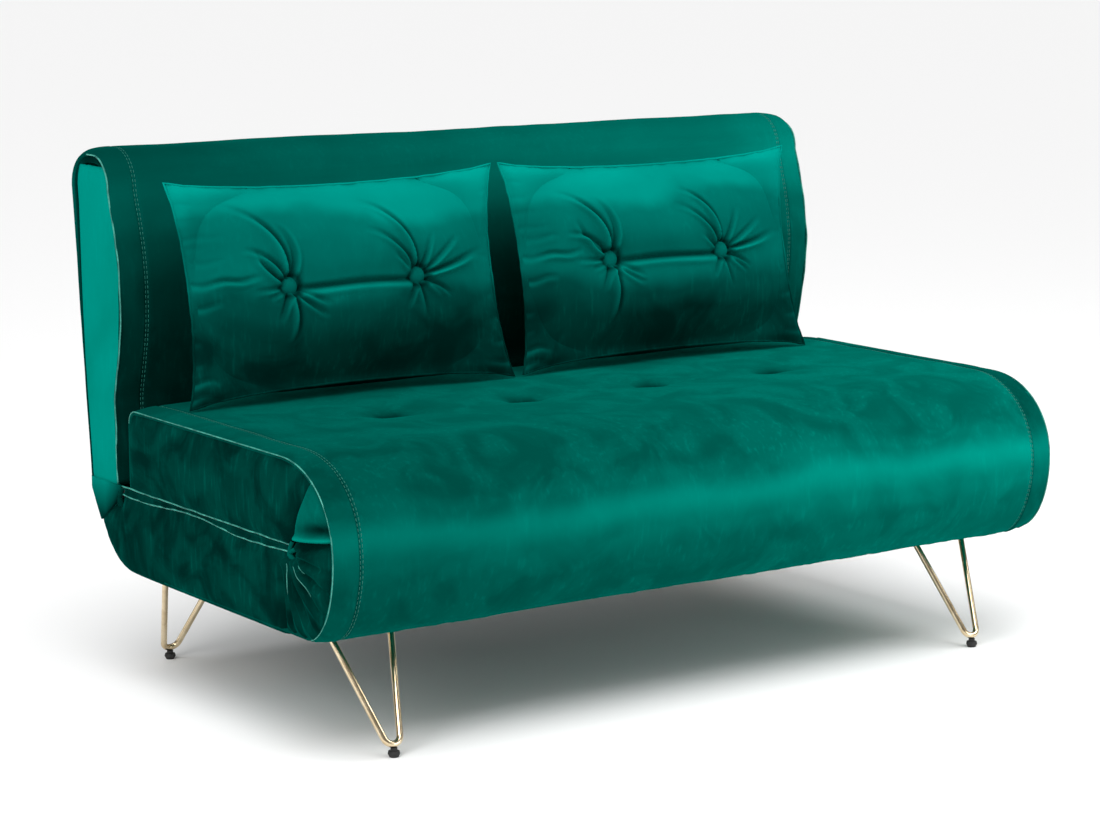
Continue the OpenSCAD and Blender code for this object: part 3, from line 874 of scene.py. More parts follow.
    def foam(self) -> bpy.types.Material:
        """Open-cell foam."""
        return self.plain("open_cell_foam", (0.62, 0.55, 0.38), (0.80, 0.73, 0.56), 500.0,
                          (0.8, 0.95), 0.0, bump=0.5)

    def thread(self) -> bpy.types.Material:
        """Sewing thread, a little lighter than the velvet."""
        return self.plain("sewing_thread", (0.0, 0.10, 0.075), (0.01, 0.22, 0.165), 900.0,
                          (0.5, 0.7), 0.0, bump=0.2)

    def welt(self) -> bpy.types.Material:
        """The welt's velvet, painted lighter than the rest as a highlight along its folded edge."""
        return self.plain("welt_edge", (0.0, 0.12, 0.095), (0.04, 0.32, 0.25), 70.0,
                          (0.4, 0.6), 0.0, bump=0.2)


def paint_shade(piece: bpy.types.Object, amount: Callable[[Vector], float]) -> bpy.types.Object:
    """Stores painted shade at each vertex, and painted highlight where it is below nought."""
    layer = piece.data.attributes.new("painted_shade", "FLOAT", "POINT")
    layer.data.foreach_set("value", [amount(vertex.co) for vertex in piece.data.vertices])
    return piece


def paint(piece: bpy.types.Object, material: bpy.types.Material) -> bpy.types.Object:
    """Gives a piece one material.

    Args:
        piece: The piece.
        material: Its finish.

    Returns:
        The same piece.
    """
    piece.data.materials.clear()
    piece.data.materials.append(material)
    return piece


# ---- the shape of the upholstery, from the side


@dataclass
class Outline:
    """The side view of the sofa, as heights and depths in metres."""

    half_w: float = 0.0
    front_y: float = 0.0
    base_y: float = 0.0
    crease_y: float = 0.0
    rear_y: float = 0.0
    seat_rear_y: float = 0.0
    floor_z: float = 0.0
    mid_z: float = 0.0
    seat_z: float = 0.0
    top_z: float = 0.0
    roll_y: float = -0.250
    axis_z: float = 0.305
    under_y: float = -0.318
    under_join: float = 80
    fullness: float = 2.12
    back_low_t: float = 0.103
    rear_r: float = 0.026
    back_top_r: float = 0.060
    back_lean: float = 0.013
    back_swell: float = 0.030

    @classmethod
    def from_frame(cls) -> "Outline":
        """Reads the driving sizes off the frame's covers.

        Returns:
            The outline.
        """
        seat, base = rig.box("seat_cover"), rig.box("base_cover")
        nose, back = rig.box("nose_cover"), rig.box("back_cover")
        return cls(half_w=seat[1].x, front_y=nose[0].y, base_y=base[0].y,
                   crease_y=base[1].y + 0.001, rear_y=back[1].y,
                   seat_rear_y=seat[1].y, floor_z=base[0].z,
                   mid_z=base[1].z + 0.001, seat_z=seat[1].z, top_z=back[1].z)

    @property
    def pivot_y(self) -> float:
        """Depth of both pivots of the nose."""
        return (self.front_y + self.base_y) / 2

    @property
    def crossing(self) -> dict[str, Colour]:
        """Where the skin hands over from the nose to the section behind it."""
        return {"start": (0, self.pivot_y, 0), "end": (0, self.base_y, 0)}

    def nose_y(self, z: float) -> float:
        """Depth of the nose's front at a height."""
        if z > self.axis_z:
            share = clamp((z - self.axis_z) / (self.seat_z - self.axis_z))
            reach = (1 - share ** self.fullness) ** (1 / self.fullness)
            return self.roll_y - (self.roll_y - self.front_y) * reach
        share = clamp((self.axis_z - z) / (self.axis_z - self.floor_z))
        return self.under_y - (self.under_y - self.front_y) * math.sqrt(1 - share ** 2)

    def top_at(self, y: float) -> float:
        """Height of the seat's top at a depth."""
        arc_y = self.seat_rear_y - self.rear_r
        if y > arc_y:
            return self.seat_z - arc_fall(self.rear_r, y - arc_y)
        if y > self.roll_y:
            return self.seat_z
        share = clamp((self.roll_y - y) / (self.roll_y - self.front_y))
        reach = (1 - share ** self.fullness) ** (1 / self.fullness)
        return self.axis_z + (self.seat_z - self.axis_z) * reach

    def seat_path(self) -> list[Point2]:
        """The skin's line from the seat's free end, over the nose, to its underside.

        Returns:
            Pairs of depth and height.
        """
        arc_y = self.seat_rear_y - self.rear_r
        flat = arc((arc_y, self.seat_z - self.rear_r), (self.rear_r, self.rear_r), 0, 90, 8)[:-1]
        flat += [(y, self.seat_z) for y in steps(arc_y, self.roll_y, 48)]
        run = self.roll_y - self.front_y
        upper = []
        for angle in steps(0, 90, 30)[1:]:
            c = math.cos(math.radians(angle)) ** (2 / self.fullness) if angle < 90 else 0.0
            s = math.sin(math.radians(angle)) ** (2 / self.fullness)
            upper.append((self.roll_y - run * s, self.axis_z + (self.seat_z - self.axis_z) * c))
        return flat + upper + self.under_arc(0, self.under_join, 24)[1:]

    def under_arc(self, start: float, stop: float, count: int) -> list[Point2]:
        """Part of the round under the nose, between two angles from its front."""
        radii = (self.front_y - self.under_y, self.floor_z - self.axis_z)
        return arc((self.under_y, self.axis_z), radii, start, stop, count)

    def corner_path(self) -> list[Point2]:
        """The skin's line from the base's underside round to the back's rear.

        Returns:
            Pairs of depth and height.
        """
        crease, low = self.crease_y, self.floor_z
        marks = [(crease - 0.14, low), (crease - 0.05, low + 0.0005), (crease - 0.018, low + 0.003),
                 (crease + 0.012, low + 0.013), (crease + 0.040, low + 0.035),
                 (crease + 0.062, low + 0.069), (crease + 0.082, low + 0.101),
                 (crease + self.back_low_t, self.mid_z)]
        return rounded(marks, 6)

    def corner_z(self, y: float) -> float:
        """Height of the underside at a depth, the rear corner included."""
        return between(self.corner_path(), y)

    def back_front(self, z: float) -> float:
        """Depth of the back's front at a height."""
        share = (z - self.mid_z) / (self.top_z - self.mid_z)
        low, high = self.seat_z + 0.006, self.top_z - self.back_top_r
        swell = math.sin(math.pi * clamp((z - low) / (high - low)))
        front = self.crease_y + 0.001 + self.back_lean * share - self.back_swell * swell
        return front + arc_fall(self.back_top_r, max(0.0, z - high))

    def back_rear(self, z: float) -> float:
        """Depth of the back's rear at a height."""
        low = self.crease_y + self.back_low_t
        high = self.top_z - self.back_top_r
        rear = low + (self.rear_y - low) * clamp((z - self.mid_z) / (high - self.mid_z))
        return rear - arc_fall(self.back_top_r, max(0.0, z - high))

    def back_path(self) -> list[Point2]:
        """The skin's line up the back's front, over its top and down its rear.

        Returns:
            Pairs of depth and height.
        """
        high, r = self.top_z - self.back_top_r, self.back_top_r
        line = [(self.back_front(z), z) for z in steps(self.mid_z + 0.003, high, 56)]
        front, rear = self.back_front(high), self.back_rear(high)
        line += arc((front + r, high), (-r, r), 0, 90, 9)[1:]
        line += [(y, self.top_z) for y in steps(front + r, rear - r, 3)[1:-1]]
        line += arc((rear - r, high), (r, r), 90, 0, 9)
        line += [(self.back_rear(z), z) for z in steps(high, self.mid_z, 40)[1:]]
        return line


def rounded(marks: Sequence[Point2], pieces: int) -> list[Point2]:
    """A smooth line through points.

    Args:
        marks: The points.
        pieces: Steps from each point to the next.

    Returns:
        Points along the line, both ends included.
    """
    line = []
    for i in range(len(marks) - 1):
        a, b, c, d = (Vector(marks[clamped]) for clamped in
                      (max(0, i - 1), i, i + 1, min(len(marks) - 1, i + 2)))
        for t in steps(0.0, 1.0, pieces)[:-1]:
            spot = b * 2 + (c - a) * t + (a * 2 - b * 5 + c * 4 - d) * t ** 2
            spot += (b * 3 - a - c * 3 + d) * t ** 3
            line.append(tuple(spot / 2))
    line.append(tuple(marks[-1]))
    return line


def normals_of(line: Sequence[Point2]) -> list[Point2]:
    """Unit normals of a line, to the left of the way it runs.

    Args:
        line: Pairs of depth and height.

    Returns:
        One normal for each point.
    """
    result = []
    for i in range(len(line)):
        a, b = line[max(0, i - 1)], line[min(len(line) - 1, i + 1)]
        dy, dz = b[0] - a[0], b[1] - a[1]
        length = math.hypot(dy, dz) or 1.0
        result.append((-dz / length, dy / length))
    return result


@dataclass
class Border:
    """The stitched border along both sides of the outer skin."""

    half_w: float
    seam_in: float = 0.042
    row_gap: float = 0.004
    groove: float = 0.0016
    groove_w: float = 0.0018
    roll: float = 0.006
    welt_in: float = 0.0006
    pitch: float = 0.0075
    stitch: float = 0.0048
    thread_lift: float = 0.0002

    def columns(self) -> list[float]:
        """Places across the skin, close together at the seams and edges.

        Returns:
            Rising numbers from the left edge to the right.
        """
        near = [0.0, 0.0012, 0.004, 0.009, 0.016, 0.024, 0.031, 0.0355, 0.038]
        near += [self.seam_in - 0.003 + 0.001 * i for i in range(11)]
        near += [0.053, 0.058, 0.066]
        edge = [self.half_w - d for d in near]
        middle = steps(-self.half_w + 0.076, self.half_w - 0.076, 130)
        return [-x for x in edge] + middle + edge[::-1]

    def sink(self, x: float) -> float:
        """How far the skin lies below its line at a place across it."""
        inward = self.half_w - abs(x)
        seams = dip(inward - self.seam_in, self.groove_w)
        seams += 0.8 * dip(inward - self.seam_in - self.row_gap, self.groove_w)
        edge = clamp(1 - inward / self.seam_in)
        return self.groove * seams + self.roll * edge ** 2


@dataclass
class Skin:
    """One length of the outer skin, laid along a line of the side view."""

    name: str
    line: list[Point2]
    border: Border
    wave: float = 0.0015
    thickness: float = 0.006
    outward: float = 1.0

    def plain_sink(self, x: float, y: float, z: float) -> float:
        """How far the skin lies below its line, with its border and its slow waves."""
        ripple = noise.noise(Vector((x * 5.0, y * 9.0, z * 9.0 + self.outward)))
        ripple += 0.35 * noise.noise(Vector((x * 17.0, y * 24.0, z * 24.0)))
        return self.border.sink(x) - self.wave * ripple

    def build(self, extra: Callable[[float, float, float], float] | None = None,
              bend: Callable[[Vector], Vector] | None = None) -> bpy.types.Object:
        """Builds the skin.

        Args:
            extra: Gives a further sink at a place across, a depth and a height.
            bend: Moves a finished point.

        Returns:
            A closed mesh.
        """
        normals = normals_of(self.line)

        def place(x: float, row: float) -> Vector:
            """A point of the skin's outer face."""
            (y, z), (ny, nz) = self.line[int(row)], normals[int(row)]
            sink = self.plain_sink(x, y, z)
            if extra is not None:
                sink += extra(x, y, z)
            sink *= self.outward
            spot = Vector((x, y - ny * sink, z - nz * sink))
            return bend(spot) if bend is not None else spot

        rows = [float(i) for i in range(len(self.line))]
        return patch(self.name, self.border.columns(), rows, place,
                     self.thickness * self.outward)

    def edge(self, side: float, wander: float = 0.0) -> list[Vector]:
        """The line that the skin's welt follows.

        Args:
            side: Which side of the sofa, -1 or 1.
            wander: How far it strays from a true line.

        Returns:
            Points along the edge.
        """
        normals = normals_of(self.line)
        x = side * (self.border.half_w - self.border.welt_in)
        sink = self.border.sink(side * self.border.half_w) * self.outward
        points = []
        for (y, z), (ny, nz) in zip(self.line, normals):
            stray = wander * noise.noise(Vector((side * 3.0, y * 22.0, z * 22.0)))
            points.append(Vector((x, y - ny * (sink + stray), z - nz * (sink + stray))))
        return points

    def stitches(self, bend: Callable[[Vector], Vector] | None = None) -> list[list[Vector]]:
        """Every stitch of the two rows along both borders' seams, one run of points for each."""
        insets = [self.border.seam_in + k * self.border.row_gap for k in (0, 1)]
        return [run for side in SIDES for inward in insets
                for run in self.stitch_row(side * (self.border.half_w - inward), bend)]

    def stitch_row(self, x: float, bend: Callable[[Vector], Vector] | None) -> list[list[Vector]]:
        """The stitches of one row.

        Args:
            x: The row's place across the skin.
            bend: Moves a finished point.

        Returns:
            One run of points for each stitch.
        """
        normals = normals_of(self.line)
        path, lengths = [], [0.0]
        for (y, z), (ny, nz) in zip(self.line, normals):
            sink = (self.plain_sink(x, y, z) - self.border.thread_lift) * self.outward
            spot = Vector((x, y - ny * sink, z - nz * sink))
            path.append(bend(spot) if bend is not None else spot)
        for a, b in zip(path, path[1:]):
            lengths.append(lengths[-1] + (b - a).length)

        def along(distance: float) -> Vector:
            """The point at a distance along the row."""
            for i in range(len(path) - 1):
                if distance <= lengths[i + 1]:
                    share = (distance - lengths[i]) / (lengths[i + 1] - lengths[i])
                    return path[i].lerp(path[i + 1], share)
            return path[-1]

        starts = [i * self.border.pitch + 0.001 for i in range(int(lengths[-1] / self.border.pitch))]
        return [[along(start), along(start + self.border.stitch)] for start in starts]


# ---- the sub-assemblies


def tucks(name: str, knot: Vector, turns: Sequence[Point2], radius: float) -> bpy.types.Object:
    """Small tucks at both sides, where the velvet is drawn together at a knot.

    Args:
        name: The piece's name.
        knot: The right-hand knot, at the tucks' highest place.
        turns: The direction in degrees and the reach of each tuck.
        radius: The tucks' radius.

    Returns:
        One mesh of all the tucks.
    """
    inward_curve = 14.0
    runs = []
    for side in SIDES:
        for turn, reach in turns:
            radians = math.radians(turn)
            runs.append([Vector((side * (knot.x - inward_curve * r * r),
                                 knot.y + r * math.cos(radians), knot.z + r * math.sin(radians)))
                         for r in steps(0.0, reach, 6)])
    return tube(name, runs, radius, 3)


@dataclass
class SeatAndNose:
    """The seat section and the round nose, under one skin."""

    shape: Outline
    finish: Finishes
    tuft_places: list[Point2] = field(default_factory=list)
    tuft_depth: float = 0.020
    tuft_width: float = 0.019
    tuft_reach: float = 0.2
    tuft_shade: Point2 = (0.027, 0.015)
    hollow: Point2 = (0.0050, 0.075)
    tuft_folds: float = 0.0011
    seam_in: float = 0.042
    border_shade: Point2 = (0.30, 0.30)
    seam_shade: Point2 = (0.55, 0.0022)
    nose_pucker: float = 0.0012
    panel_inset: float = 0.0085
    panel_dents: float = 0.0016
    welt_r: float = 0.0010
    side_puff: float = 0.007
    gather: Point2 = (-0.283, 0.318)
    apex: Point2 = (-0.338, 0.411)
    knot: Point2 = (-0.274, 0.300)
    gusset_slope: float = 0.014
    gusset_lean: float = 1.67
    lip_out: Point2 = (0.007, 0.007)
    lip_line: Point2 = (0.009, 0.0022)
    fan_fall: Point2 = (0.008, 0.010)
    pleats: tuple[Point2, ...] = ((172, 0.004), (190, 0.006), (204, 0.0075), (220, 0.007),
                                  (236, 0.006), (248, 0.006), (262, 0.005))

    def read_tufts(self) -> None:
        """Takes the places of the tufts from the frame's tuft buttons."""
        low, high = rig.box("seat_tuft_buttons")
        reach, y = high.x - 0.008, (low.y + high.y) / 2
        self.tuft_places = [(x, y) for x in steps(-reach, reach, 3)]

    def tuft_sink(self, x: float, y: float, z: float) -> float:
        """How far the seat's top is drawn in by its tufts, and the nose by its puckers.

        Args:
            x: The point's place across the sofa.
            y: Its depth.
            z: Its height.

        Returns:
            The distance below the skin's line.
        """
        if z < self.shape.seat_z - 0.02:
            return self.nose_puckers(x, y, z)
        sink = 0.0
        for i, (tx, ty) in enumerate(self.tuft_places):
            dx, dy = (x - tx) * 0.75, (y - ty) * 1.35
            r = math.hypot(dx, dy)
            if r > self.tuft_reach:
                continue
            angle = math.atan2(dy, dx)
            folds = math.sin(5 * angle + 1.7 * i) + 0.6 * math.sin(3 * angle + i)
            sink += self.tuft_depth * math.exp(-((r / self.tuft_width) ** 1.4))
            sink += self.hollow[0] * dip(r, self.hollow[1])
            fade = clamp(r / 0.025) * math.exp(-((r / 0.055) ** 1.5))
            sink += self.tuft_folds * folds * fade
        return sink + self.nose_puckers(x, y, z)

    def painted_shade(self, spot: Vector) -> float:
        """Painted shade on the skin: in the tufts, beside the stitches and on the right border, which turns from the
        light.

        Args:
            spot: A point of the skin.

        Returns:
            From 0, no painted shade, to 1, full painted shade.
        """
        dark = 0.0
        if spot.z > self.shape.seat_z - 0.045:
            for x, y in self.tuft_places:
                across = (spot.x - x) / self.tuft_shade[0]
                back = (spot.y - y - 0.004) / self.tuft_shade[1]
                dark = max(dark, 0.95 * math.exp(-(across ** 4) - back ** 2))
        inward = self.shape.half_w - spot.x
        border = clamp((self.seam_in - inward) / 0.003)
        height = clamp((spot.z - self.shape.axis_z) / 0.10)
        dark = max(dark, border * (self.border_shade[0] + self.border_shade[1] * height ** 2))
        depth, width = self.seam_shade
        for row in (inward, self.shape.half_w + spot.x):
            dark = max(dark, depth * dip(row - self.seam_in + 0.0005, width))
        return dark

    def nose_puckers(self, x: float, y: float, z: float) -> float:
        """Small puckers where the skin turns under the nose."""
        low = clamp((self.shape.axis_z - 0.05 - z) / 0.07)
        return low * self.nose_pucker * noise.noise(Vector((x * 60.0, 0.0, z * 6.0)))

    def skin(self) -> Skin:
        """The skin from the seat's free end to the nose's underside."""
        return Skin("seat_and_nose_skin", self.shape.seat_path(), Border(self.shape.half_w),
                    wave=0.0024, outward=-1.0)

    @property
    def meeting(self) -> Point2:
        """Where the seat's side, the join strip and the gusset meet, as depth and height."""
        return self.gather[0] - 0.008, self.gather[1] + 0.012

    def seat_low(self, y: float) -> float:
        """Height of the seat side panel's lower edge at a depth."""
        gy, gz = self.meeting
        if y >= self.shape.base_y:
            return self.shape.mid_z + 0.0035 + 0.0015 * math.sin(y * 31.0)
        if y >= gy:
            share = (self.shape.base_y - y) / (self.shape.base_y - gy)
            return self.shape.mid_z + 0.0035 + (gz - self.shape.mid_z - 0.0035) * share
        share = clamp((gy - y) / (gy - self.apex[0])) ** 0.6
        return gz + (self.apex[1] - gz) * share

    def side_panel(self, side: float) -> bpy.types.Object:
        """The seat's side, whose front ends in a point at the nose.

        Args:
            side: -1 for the left, 1 for the right.

        Returns:
            A closed pad.
        """
        shape = self.shape
        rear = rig.box("seat_cover")[1].y - 0.001
        front = self.apex[0] + 0.0005

        def place(y: float, v: float) -> Vector:
            """A point of the panel's outer face."""
            low, high = self.seat_low(y), shape.top_at(y) - 0.0095
            high = max(low + 0.0005, high)
            z = low + (high - low) * v
            edge = min(v, 1 - v) * (high - low)
            end = min(rear - y, (y - front) * 0.6)
            full = puffed(edge, 0.012) * puffed(end, 0.012)
            dents = noise.noise(Vector((y * 9.0 + side * 5.0, z * 11.0, side)))
            puff = self.side_puff * full + self.panel_dents * full * dents
            x = shape.half_w - self.panel_inset + puff
            return Vector((side * x, y, z))

        piece = patch(sided("seat_side", side),
                      steps(rear, front, 120), steps(0.0, 1.0, 26), place, 0.006 * side)
        return paint(piece, self.finish.velvet(VelvetLight.SHADED))

    def gusset_rear(self, z: float) -> float:
        """Depth of the gusset's rear edge at a height."""
        gy, gz = self.meeting
        if z > gz:
            share = clamp((z - gz) / (self.apex[1] - gz)) ** self.gusset_lean
            return gy - (gy - self.apex[0]) * share
        base = self.shape.base_y
        return base + (gy - base) * clamp((z - gz + 0.042) / 0.042)

    def gusset_relief(self, y: float, z: float, edge: float, side: float) -> float:
        """How far the gusset stands out at a point.

        Args:
            y: The point's depth.
            z: The point's height.
            edge: Its distance from the gusset's nearest edge.
            side: -1 for the left, 1 for the right.

        Returns:
            The distance from the middle of the sofa.
        """
        ky, kz = self.knot
        full = puffed(edge, 0.011)
        r = math.hypot(y - ky, z - kz)
        angle = math.degrees(math.atan2(z - kz, y - ky)) % 360
        sink = 0.0
        for middle, depth in self.pleats:
            off = turned(angle, middle) * max(r, 0.01)
            fade = clamp(r / 0.015) * dip(r, 0.11)
            sink += 1.3 * depth * fade * (dip(off, 0.0042) - 0.8 * dip(off - 0.0080, 0.0050))
        sink += 0.006 * dip(r, 0.010)
        puff = 0.012 * full + 0.0016 * noise.noise(Vector((y * 30.0, z * 30.0, side)))
        return self.shape.half_w - 0.008 + 0.005 * puffed(edge, 0.005) + puff - sink

    def gusset(self, side: float, upper: bool) -> bpy.types.Object:
        """One part of the nose's pleated end: the smooth top or the fan below it.

        Args:
            side: -1 for the left, 1 for the right.
            upper: Whether it is the smooth top.

        Returns:
            A closed pad.
        """
        shape = self.shape
        fold = self.gather[1]
        high, low = (self.apex[1] + 0.001, fold) if upper else (fold, shape.floor_z + 0.004)

        def place(z: float, v: float) -> Vector:
            """A point of the gusset's outer face."""
            share = (high - z) / (high - low)
            slope = self.gusset_slope * (share if upper else 1 - share)
            rear = self.gusset_rear(z) + 0.006
            front = min(shape.nose_y(z + slope) + 0.007, rear - 0.0005)
            y = rear + (front - rear) * v
            lift = slope * v
            edge = min(v, 1 - v) * (rear - front)
            if upper:
                edge = min(edge, high - z)
                x = self.gusset_relief(y, z + 0.3, edge, side)
                lip = z - low
                swell = math.sin(math.pi * clamp(v * 1.1))
                x += self.lip_out[0] * dip(lip - 0.004, self.lip_out[1]) * swell
                x -= self.lip_line[0] * dip(lip, self.lip_line[1])
                x -= 0.011 * dip(y + 0.360, 0.020) * dip(lip - 0.020, 0.011)
            else:
                edge = min(edge, z - low)
                x = self.gusset_relief(y, z, edge, side)
                x -= self.fan_fall[0] * dip(high - z, self.fan_fall[1])
            return Vector((side * x, y, z + lift))

        kind = "top" if upper else "fan"
        piece = patch(sided(f"nose_gusset_{kind}", side),
                      steps(high, low, 60 if upper else 90), steps(0.0, 1.0, 56), place,
                      -0.003 * side)
        if upper:
            rear, front = self.gather[0], shape.nose_y(fold)

            def pocket(spot: Vector) -> float:
                """Painted shade in the hollow over the lip and a painted highlight on the lip's edge."""
                share = (spot.y - rear) / (front - rear)
                over_lip = spot.z - fold - self.gusset_slope * share
                hollow = dip(over_lip - 0.020, 0.010) * clamp(share * 1.6)
                return 0.9 * hollow - 0.55 * dip(over_lip - 0.005, 0.005)

            paint_shade(piece, pocket)
        return paint(piece, self.finish.velvet(VelvetLight.GUSSET if upper else VelvetLight.SHADED))

    def pleat_highlights(self) -> bpy.types.Object:
        """Painted highlights along the pleats' folded edges.

        Returns:
            Thin light cords along three pleats at each end, in the welt's highlight colour.
        """
        ky, kz = self.knot
        runs = []
        for side in SIDES:
            for middle, reach in ((199, 0.088), (213, 0.100), (254, 0.085)):
                run = []
                for r in steps(0.014, reach, 20):
                    turn = math.radians(middle + 8 * (r / reach) ** 2)
                    y, z = ky + r * math.cos(turn), kz + r * math.sin(turn)
                    x = self.gusset_relief(y, z, 0.02, side) + 0.0008
                    run.append(Vector((side * x, y, z)))
                runs.append(run)
        return paint(tube("pleat_highlights", runs, 0.0008, 1), self.finish.welt())

    def knot_tucks(self) -> bpy.types.Object:
        """The tucks at the join strips' front ends."""
        knot = Vector((self.shape.half_w + 0.0005, *self.knot))
        turns = ((100, 0.016), (150, 0.014), (222, 0.020), (248, 0.026), (272, 0.022))
        return paint(tucks("knot_tucks", knot, turns, 0.0034), self.finish.velvet(VelvetLight.GUSSET))

    def gusset_welt(self, side: float) -> bpy.types.Object:
        """The welt between the seat's side and the gusset.

        Args:
            side: -1 for the left, 1 for the right.

        Returns:
            The welt.
        """
        gy, gz = self.meeting
        points = []
        for share in steps(0.0, 1.0, 24):
            y = gy + (self.apex[0] - gy) * share ** self.gusset_lean
            z = gz + (self.apex[1] - gz) * share
            points.append(Vector((side * (self.shape.half_w - 0.0010), y, z)))
        welt = tube(sided("gusset_welt", side), [points], self.welt_r * 0.7)
        return paint(welt, self.finish.welt())

    def build(self) -> None:
        """Builds the skin, sides, gussets, welts, stitches and hidden faces."""
        shape = self.shape
        self.read_tufts()
        skin = self.skin()
        top = paint(skin.build(self.tuft_sink), self.finish.velvet(VelvetLight.SEAT))
        # Painted shade in the tufts, beside the stitches and on the right border.
        paint_shade(top, self.painted_shade)
        crossing = shape.crossing
        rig.padded(top, fill=0.8)
        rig.slot(top, "velvet")
        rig.replaces(top, "seat_cover", "nose_cover", "seat_foam_upper", "nose_foam")
        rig.blend(top, "nose", "seat", **crossing)
        welts = tube("seat_skin_welts", [skin.edge(side) for side in SIDES], self.welt_r)
        thread = tube("seat_stitches", skin.stitches(), STITCH_R, 1)
        for piece, material in ((welts, self.finish.welt()), (thread, self.finish.thread())):
            paint(piece, material)
            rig.slot(piece, "velvet")
            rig.blend(piece, "nose", "seat", **crossing)
        for side in SIDES:
            panel = self.side_panel(side)
            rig.padded(panel, fill=0.7)
            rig.slot(panel, "velvet")
            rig.blend(panel, "nose", "seat", **crossing)
            for upper in (True, False):
                end = self.gusset(side, upper)
                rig.padded(end, fill=0.6)
                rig.slot(end, "velvet")
                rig.ride(end, "nose")
            welt = self.gusset_welt(side)
            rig.slot(welt, "velvet")
            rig.blend(welt, "nose", "seat", **crossing)
        for piece in (self.pleat_highlights(), self.knot_tucks()):
            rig.slot(piece, "velvet")
            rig.ride(piece, "nose")
        self.inner_faces()
        self.tuft_buttons()
        LOG.info("seat and nose: skin, sides, gussets, welts, stitches")

    def inner_faces(self) -> None:
        """Builds the faces that become the bed: the seat's core and the nose's rear."""
        shape = self.shape
        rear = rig.box("seat_cover")[1].y
        seat_low = Vector((-shape.half_w + 0.010, shape.base_y + 0.001, shape.mid_z + 0.001))
        seat_high = Vector((shape.half_w - 0.010, rear - 0.006, shape.seat_z - 0.034))
        core = soft_block("seat_core", seat_low, seat_high, (40, 14, 5))
        paint(core, self.finish.velvet(VelvetLight.BED))
        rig.padded(core, fill=0.8)
        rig.slot(core, "velvet")
        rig.replaces(core, "seat_foam_lower")
        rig.ride(core, "seat")
        nose_low = Vector((-shape.half_w + 0.012, shape.base_y - 0.020, shape.floor_z + 0.004))
        nose_high = Vector((shape.half_w - 0.012, shape.base_y, shape.seat_z - 0.014))
        face = soft_block("nose_inner_face", nose_low, nose_high, (40, 2, 10))
        paint(face, self.finish.velvet(VelvetLight.BED))
        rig.padded(face, fill=0.7)
        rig.slot(face, "velvet")
        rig.ride(face, "nose")

    def tuft_buttons(self) -> None:
        """Builds the covered buttons at the bottom of the tufts."""
        z = self.shape.seat_z - self.tuft_depth - 0.0035
        buttons = []
        for x, y in self.tuft_places:
            deselect()
            bpy.ops.mesh.primitive_uv_sphere_add(segments=24, ring_count=12, radius=0.0075,
                                                 location=(x, y, z))
            button = named("tuft_button")
            move_vertices(button, lambda spot: Vector((spot.x, spot.y, spot.z * 0.4)))
            buttons.append(button)
        pick(*buttons)
        bpy.ops.object.join()
        piece = paint(settle(named("tuft_buttons")), self.finish.velvet(VelvetLight.SHADED))
        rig.slot(piece, "velvet")
        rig.replaces(piece, "seat_tuft_buttons")
        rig.ride(piece, "seat")


